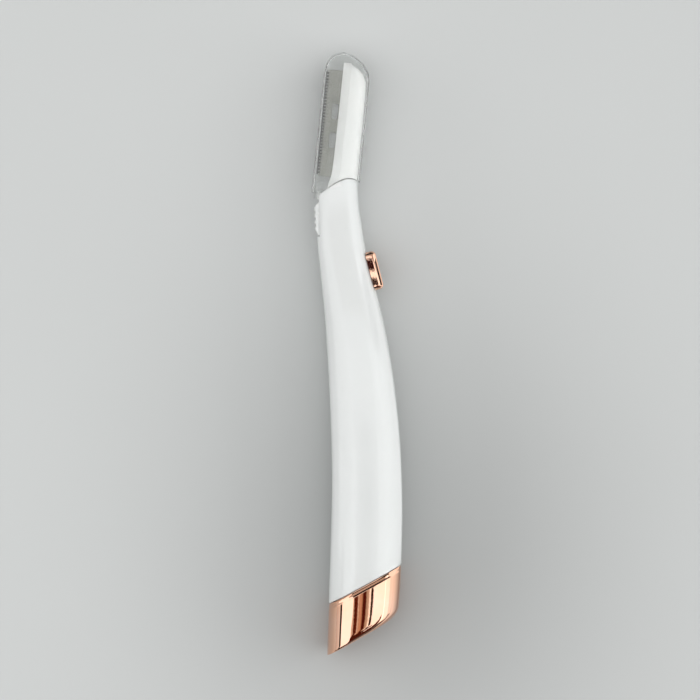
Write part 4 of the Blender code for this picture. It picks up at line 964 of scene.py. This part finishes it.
springLow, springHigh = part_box("release_spring")
releaseSpring = coilPiece("release_coil", springs["release"], springHigh[0] - springLow[0])
place(releaseSpring, standAt((springLow[0], springs["releaseY"], midPlane), math.pi / 2, "Y"))
finishPiece(releaseSpring, "handle", "springSteel", "release_spring", 60)
print("springs done")

# The cell, turned as one can with its crimped neck and nub
cell = {
    "radius": 0.00525,
    "length": 0.0445,
    "nubRadius": 0.0019,
    "nubHeight": 0.0011,
    "foot": -0.0467,
    "bareFoot": 0.0009,
    "bareTop": 0.0008,
    "bare": (0.6, 0.6, 0.58),
}


def cellMaterial():
    # film over the can, bare metal at both ends
    material = surface("cell_film", (0.09, 0.13, 0.2), (0.075, 0.11, 0.17), (0.16, 0.26), 2400, 0.000002,
                       wear=(0.22, 0.26, 0.32), coat=0.5, cloud=240)
    tree = material.node_tree
    shader = tree.nodes["Principled BSDF"]
    film = shader.inputs["Base Color"].links[0].from_node
    where = addNode(tree, "ShaderNodeTexCoord", (-1100, 900))
    apart = addNode(tree, "ShaderNodeSeparateXYZ", (-900, 900))
    low = mathNode(tree, (-700, 1000), "LESS_THAN", cell["foot"] + cell["bareFoot"])
    high = mathNode(tree, (-700, 850), "GREATER_THAN",
                    cell["foot"] + cell["length"] - cell["nubHeight"] - cell["bareTop"])
    both = mathNode(tree, (-500, 950), "MAXIMUM")
    bare = mixColours(tree, (300, 800), cell["bare"])
    wire(tree, (where, "Object", apart, 0), (apart, 1, low, 0), (apart, 1, high, 0),
         (low, 0, both, 0), (high, 0, both, 1), (both, 0, bare, 0), (film, 2, bare, 6),
         (bare, 2, shader, "Base Color"), (both, 0, shader, "Metallic"))
    return material


def cellPiece():
    radius, top, nub = cell["radius"], cell["length"], cell["nubRadius"]
    shoulder = top - cell["nubHeight"]
    profile = [(0, top), (nub - 0.0002, top), (nub, top - 0.0002), (nub, shoulder + 0.0001),
               (nub + 0.0006, shoulder), (radius - 0.001, shoulder), (radius - 0.0005, shoulder - 0.0001),
               (radius - 0.0001, shoulder - 0.0004), (radius, shoulder - 0.0008), (radius, 0.0006),
               (radius - 0.0001, 0.0002), (radius - 0.0005, 0.0), (radius - 0.0011, 0.0),
               (radius - 0.0014, 0.00025), (0, 0.00025)]
    return place(turnedShape("cell", profile, 72), onMidPlane @ alongY((endCap["boreX"], cell["foot"], 0)))


materials["cellFilm"] = cellMaterial()
finishPiece(cellPiece(), "handle", "cellFilm", "battery_cell")

# The nodes that stay as they are take a finish each
carried = {
    "springSteel": ("cap_contact", "top_contact", "board_screw_1", "board_screw_2", "switch_case",
                    "release_pin"),
    "satinWhite": ("battery_tube", "head_socket"),
    "copperWire": ("side_strip", "boost_coil"),
    "boardGreen": ("circuit_board",),
    "blackPlastic": ("boost_chip", "current_resistor", "switch_lever"),
    "ceramic": ("smoothing_capacitor",),
    "redInsulation": ("cell_wire_1", "lamp_wire_1"),
    "blackInsulation": ("cell_wire_2", "lamp_wire_2"),
}
for finish, names in carried.items():
    for name in names:
        paint(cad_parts[name], finish)
    print(finish, "on", len(names), "carried nodes")

# The floor, the light and the camera
studio = {
    "floor": (0.604, 0.618, 0.612),
    "floorHalf": 1.2,
    "floorDrop": 0.00002,
    "backdrop": (0.4, 0.41, 0.405),
    # painted shadow on the floor: how dark it is, its middle and its reach
    "paintedShadow": 0.322,
    "paintedShadowAt": (0.01, -0.033),
    "paintedShadowReach": (0.06, 0.071),
    # brightness of the room by height on the left and on the right, and its level at middle and ends
    "leftWall": ((0.0, 0.42), (0.28, 0.58), (0.355, 0.64), (0.37, 0.02), (1.0, 0.02)),
    "rightWall": ((0.0, 0.3), (0.16, 0.42), (0.24, 1.12), (0.6, 1.15), (0.64, 0.03), (1.0, 0.03)),
    "levels": (1.42, 0.142),
    "cameraAt": (-0.0041, 0.02188),
    "cameraHeight": 1.2,
    "frameWidth": 0.19145,
    "mottle": 0.02,
    "turnOver": (-0.12, 0.12),
    "endsFrom": (0.44, 0.54),
    "sensor": 36,
    # each panel: place, turn about Y in degrees, width, length, radiance, whether the gloss shows it
    "panels": [((-0.12, 0.01, 0.72), 0, 2.1, 0.96, 1.58, True),
               ((-1.1, 0.01, 0.3), -78, 0.55, 1.4, 1.35, False),
               ((1.1, 0.01, 0.3), 78, 0.55, 1.4, 1.3, False)],
    # painted reflections, glowing cards seen only in the gloss: low corner, high corner, the colours at the
    # low and at the high X, and the bands between them by place across; a grey is one number
    "reflectionCards": [
        ((-0.03, -0.1085, 0.62), (0.024, -0.0762, 0.622), (0.75, 0.6, 0.5), (0.02, 0.006, 0.004),
         (-0.0232, (0.75, 0.6, 0.5)), (-0.0226, (0.1, 0.018, 0.006)), (-0.015, (0.1, 0.015, 0.004)),
         (-0.0138, (0.5, 0.32, 0.24)), (-0.0122, (0.9, 0.75, 0.62)), (-0.0098, (0.5, 0.3, 0.2)),
         (-0.007, (0.66, 0.4, 0.27)), (-0.0026, (0.42, 0.22, 0.13)), (-0.0014, (0.08, 0.01, 0.004)),
         (0.006, (0.08, 0.01, 0.004)), (0.0072, (0.48, 0.36, 0.26)), (0.0138, (0.66, 0.56, 0.46)),
         (0.0146, (1.6, 1.55, 1.45)), (0.0176, (1.6, 1.55, 1.45)), (0.0182, (0.02, 0.006, 0.004))),
        ((-0.033, -0.0762, 0.62), (0.038, -0.006, 0.622), 1.6, 1.6,
         (-0.02, 0.9), (-0.006, 0.1), (0.01, 0.1), (0.022, 0.8)),
        ((-0.045, -0.6, 0.62), (0.06, -0.1085, 0.622), (0.07, 0.012, 0.005), (0.07, 0.012, 0.005)),
        ((0.06, -0.6, 0.62), (0.6, -0.19, 0.622), (0.07, 0.012, 0.005), (0.12, 0.04, 0.02)),
        ((-0.8, 0.13, 0.62), (0.5, 0.35, 0.622), (0.5, 0.44, 0.4), (0.5, 0.44, 0.4)),
        ((-0.01, 0.0545, 0.62), (0.02, 0.0597, 0.622), (0.05, 0.01, 0.01), (0.02, 0.01, 0.01)),
        ((-0.01, 0.0479, 0.62), (0.02, 0.0516, 0.622), (0.02, 0.01, 0.01), (0.01, 0.0, 0.0)),
        ((-0.252, -0.038, 0.001), (-0.25, 0.32, 0.31), 1.6, 1.6),
        ((0.25, -0.0585, 0.001), (0.252, 0.32, 0.17), 1.35, 1.35),
        ((0.3, -0.12, 0.001), (0.302, -0.0585, 0.085), 1.2, 1.2),
        ((0.0155, -0.036, 0.0002), (0.3, 0.075, 0.0008), 1.1, 1.45),
        ((0.0155, -0.085, 0.0002), (0.3, -0.036, 0.0008), 0.26, 1.2,
         (0.019, 0.42), (0.024, 0.64), (0.035, 0.88), (0.055, 1.05)),
        ((-0.3, -0.036, 0.0002), (-0.018, 0.06, 0.0008), 1.0, 0.6),
        ((0.05, 0.03, 0.01), (0.052, 0.062, 0.06), (0.02, 0.01, 0.01), (0.02, 0.01, 0.01)),
    ],
}
matte = {"Roughness": 0.9, "Specular IOR Level": 0.0}


def floorMaterial():
    # one pale grey with a painted shadow, a broad soft darkening painted into the floor colour round the
    # object, as the photograph's table shows
    material, tree, shader = newMaterial("pale_floor", matte)
    where = addNode(tree, "ShaderNodeTexCoord", (-1500, 0))
    # the painted shadow fades as a bell out from its middle
    moved = mathNode(tree, (-1300, 0), "SUBTRACT", (*studio["paintedShadowAt"], 0), "ShaderNodeVectorMath")
    scaled = mathNode(tree, (-1100, 0), "DIVIDE", (*studio["paintedShadowReach"], 1), "ShaderNodeVectorMath")
    square = mathNode(tree, (-900, 0), "DOT_PRODUCT", kind="ShaderNodeVectorMath")
    minus = mathNode(tree, (-700, 0), "MULTIPLY", -1.0)
    bell = mathNode(tree, (-500, 0), "EXPONENT")
    shadowAmount = mathNode(tree, (-300, 0), "MULTIPLY", studio["paintedShadow"])
    grain = addNode(tree, "ShaderNodeTexNoise", (-700, 300), Scale=9.0, Detail=3.0)
    tone = remap(tree, (-500, 300), (0.0, 1.0), (-studio["mottle"], studio["mottle"]))
    total = mathNode(tree, (-100, 100), "ADD")
    blend = mixColours(tree, (100, 0), 0, studio["floor"])
    wire(tree, (where, "Object", moved, 0), (moved, 0, scaled, 0), (scaled, 0, square, 0),
         (scaled, 0, square, 1), (square, "Value", minus, 0), (minus, 0, bell, 0), (bell, 0, shadowAmount, 0),
         (where, "Object", grain, "Vector"), (grain, "Fac", tone, "Value"), (shadowAmount, 0, total, 0),
         (tone, "Result", total, 1), (total, 0, blend, 0), (blend, 2, shader, "Base Color"))
    return material


floorWork = bmesh.new()
bmesh.ops.create_grid(floorWork, x_segments=8, y_segments=8, size=studio["floorHalf"])
floor = fromBmesh("floor", floorWork)
floor.data.materials.append(floorMaterial())
floor.location = (0, 0, -studio["floorDrop"])


def rampNode(tree, place, bands):
    # bands are (place from 0 to 1, colour), from one end to the other
    ramp = addNode(tree, "ShaderNodeValToRGB", place)
    marks = ramp.color_ramp.elements
    for at, value in bands[1:-1]:
        marks.new(at).color = shade(value)
    marks[0].color = shade(bands[0][1])
    marks[-1].color = shade(bands[-1][1])
    return ramp


def skyWorld():
    # a dimmer wall on the left, a pale one on the right, dark ends, thin dark gaps beside the panel
    world = bpy.data.worlds.new("studio")
    world.use_nodes = True
    tree = world.node_tree
    where = addNode(tree, "ShaderNodeTexCoord", (-1200, 0))
    apart = addNode(tree, "ShaderNodeSeparateXYZ", (-1000, 0))
    left = rampNode(tree, (-700, 200), studio["leftWall"])
    right = rampNode(tree, (-700, -100), studio["rightWall"])
    side = remap(tree, (-700, 500), studio["turnOver"], interpolation_type="SMOOTHSTEP")
    both = mixColours(tree, (-350, 200))
    aside = mathNode(tree, (-900, -500), "ABSOLUTE")
    turn = remap(tree, (-700, -500), studio["endsFrom"], studio["levels"], interpolation_type="SMOOTHSTEP")
    room = mathNode(tree, (-150, 100), "SCALE", kind="ShaderNodeVectorMath")
    rays = addNode(tree, "ShaderNodeLightPath", (-150, 500))
    seen = mixColours(tree, (50, 300), studio["backdrop"])
    wire(tree, (where, "Generated", apart, 0), (apart, 2, left, "Fac"), (apart, 2, right, "Fac"),
         (apart, 0, side, "Value"), (side, "Result", both, 0), (left, "Color", both, 6),
         (right, "Color", both, 7), (apart, 1, aside, 0), (aside, 0, turn, "Value"), (both, 2, room, 0),
         (turn, "Result", room, "Scale"), (rays, "Is Camera Ray", seen, 0), (room, 0, seen, 6),
         (seen, 2, tree.nodes["Background"], "Color"))
    return world


scene.world = skyWorld()

for index, (at, turn, wide, long, radiance, shown) in enumerate(studio["panels"]):
    light = bpy.data.lights.new(f"panel_{index}", "AREA")
    light.shape = "RECTANGLE"
    light.size, light.size_y = wide, long
    light.energy = radiance * math.pi * wide * long
    panel = link(f"panel_{index}", light)
    panel.location = at
    panel.rotation_euler = (0, math.radians(turn), 0)
    panel.visible_camera = False
    panel.visible_glossy = shown


def reflectionCardMaterial(name, bands):
    # painted reflection: glowing bands across X, as the photograph's reflections run
    material, tree, shader = newMaterial(name, {**matte, "Base Color": shade(0.0), "Emission Strength": 1.0})
    low, high = bands[0][0], bands[-1][0]
    where = addNode(tree, "ShaderNodeTexCoord", (-900, 0))
    apart = addNode(tree, "ShaderNodeSeparateXYZ", (-700, 0))
    across = remap(tree, (-500, 0), (low, high))
    ramp = rampNode(tree, (-300, 0), [((at - low) / (high - low), colour) for at, colour in bands])
    wire(tree, (where, "Object", apart, 0), (apart, 0, across, "Value"), (across, "Result", ramp, "Fac"),
         (ramp, "Color", shader, "Emission Color"))
    return material


# painted reflections of what stands round the table in the photograph: glowing cards seen only in the gloss
for index, (low, high, first, last, *between) in enumerate(studio["reflectionCards"]):
    card = block(f"card_{index}", low, high)
    card.data.materials.append(reflectionCardMaterial(f"card_{index}", [(low[0], first), *between, (high[0], last)]))
    for ray in ("camera", "diffuse", "shadow", "transmission"):
        setattr(card, "visible_" + ray, False)

cameraData = bpy.data.cameras.new("camera")
cameraData.sensor_width = studio["sensor"]
cameraData.lens = studio["sensor"] * (studio["cameraHeight"] - midPlane) / studio["frameWidth"]
cameraData.clip_start = 0.01
camera = link("camera", cameraData)
camera.location = (*studio["cameraAt"], studio["cameraHeight"])
bpy.context.scene.camera = camera
scene.view_settings.view_transform = "Standard"

print("scene complete")
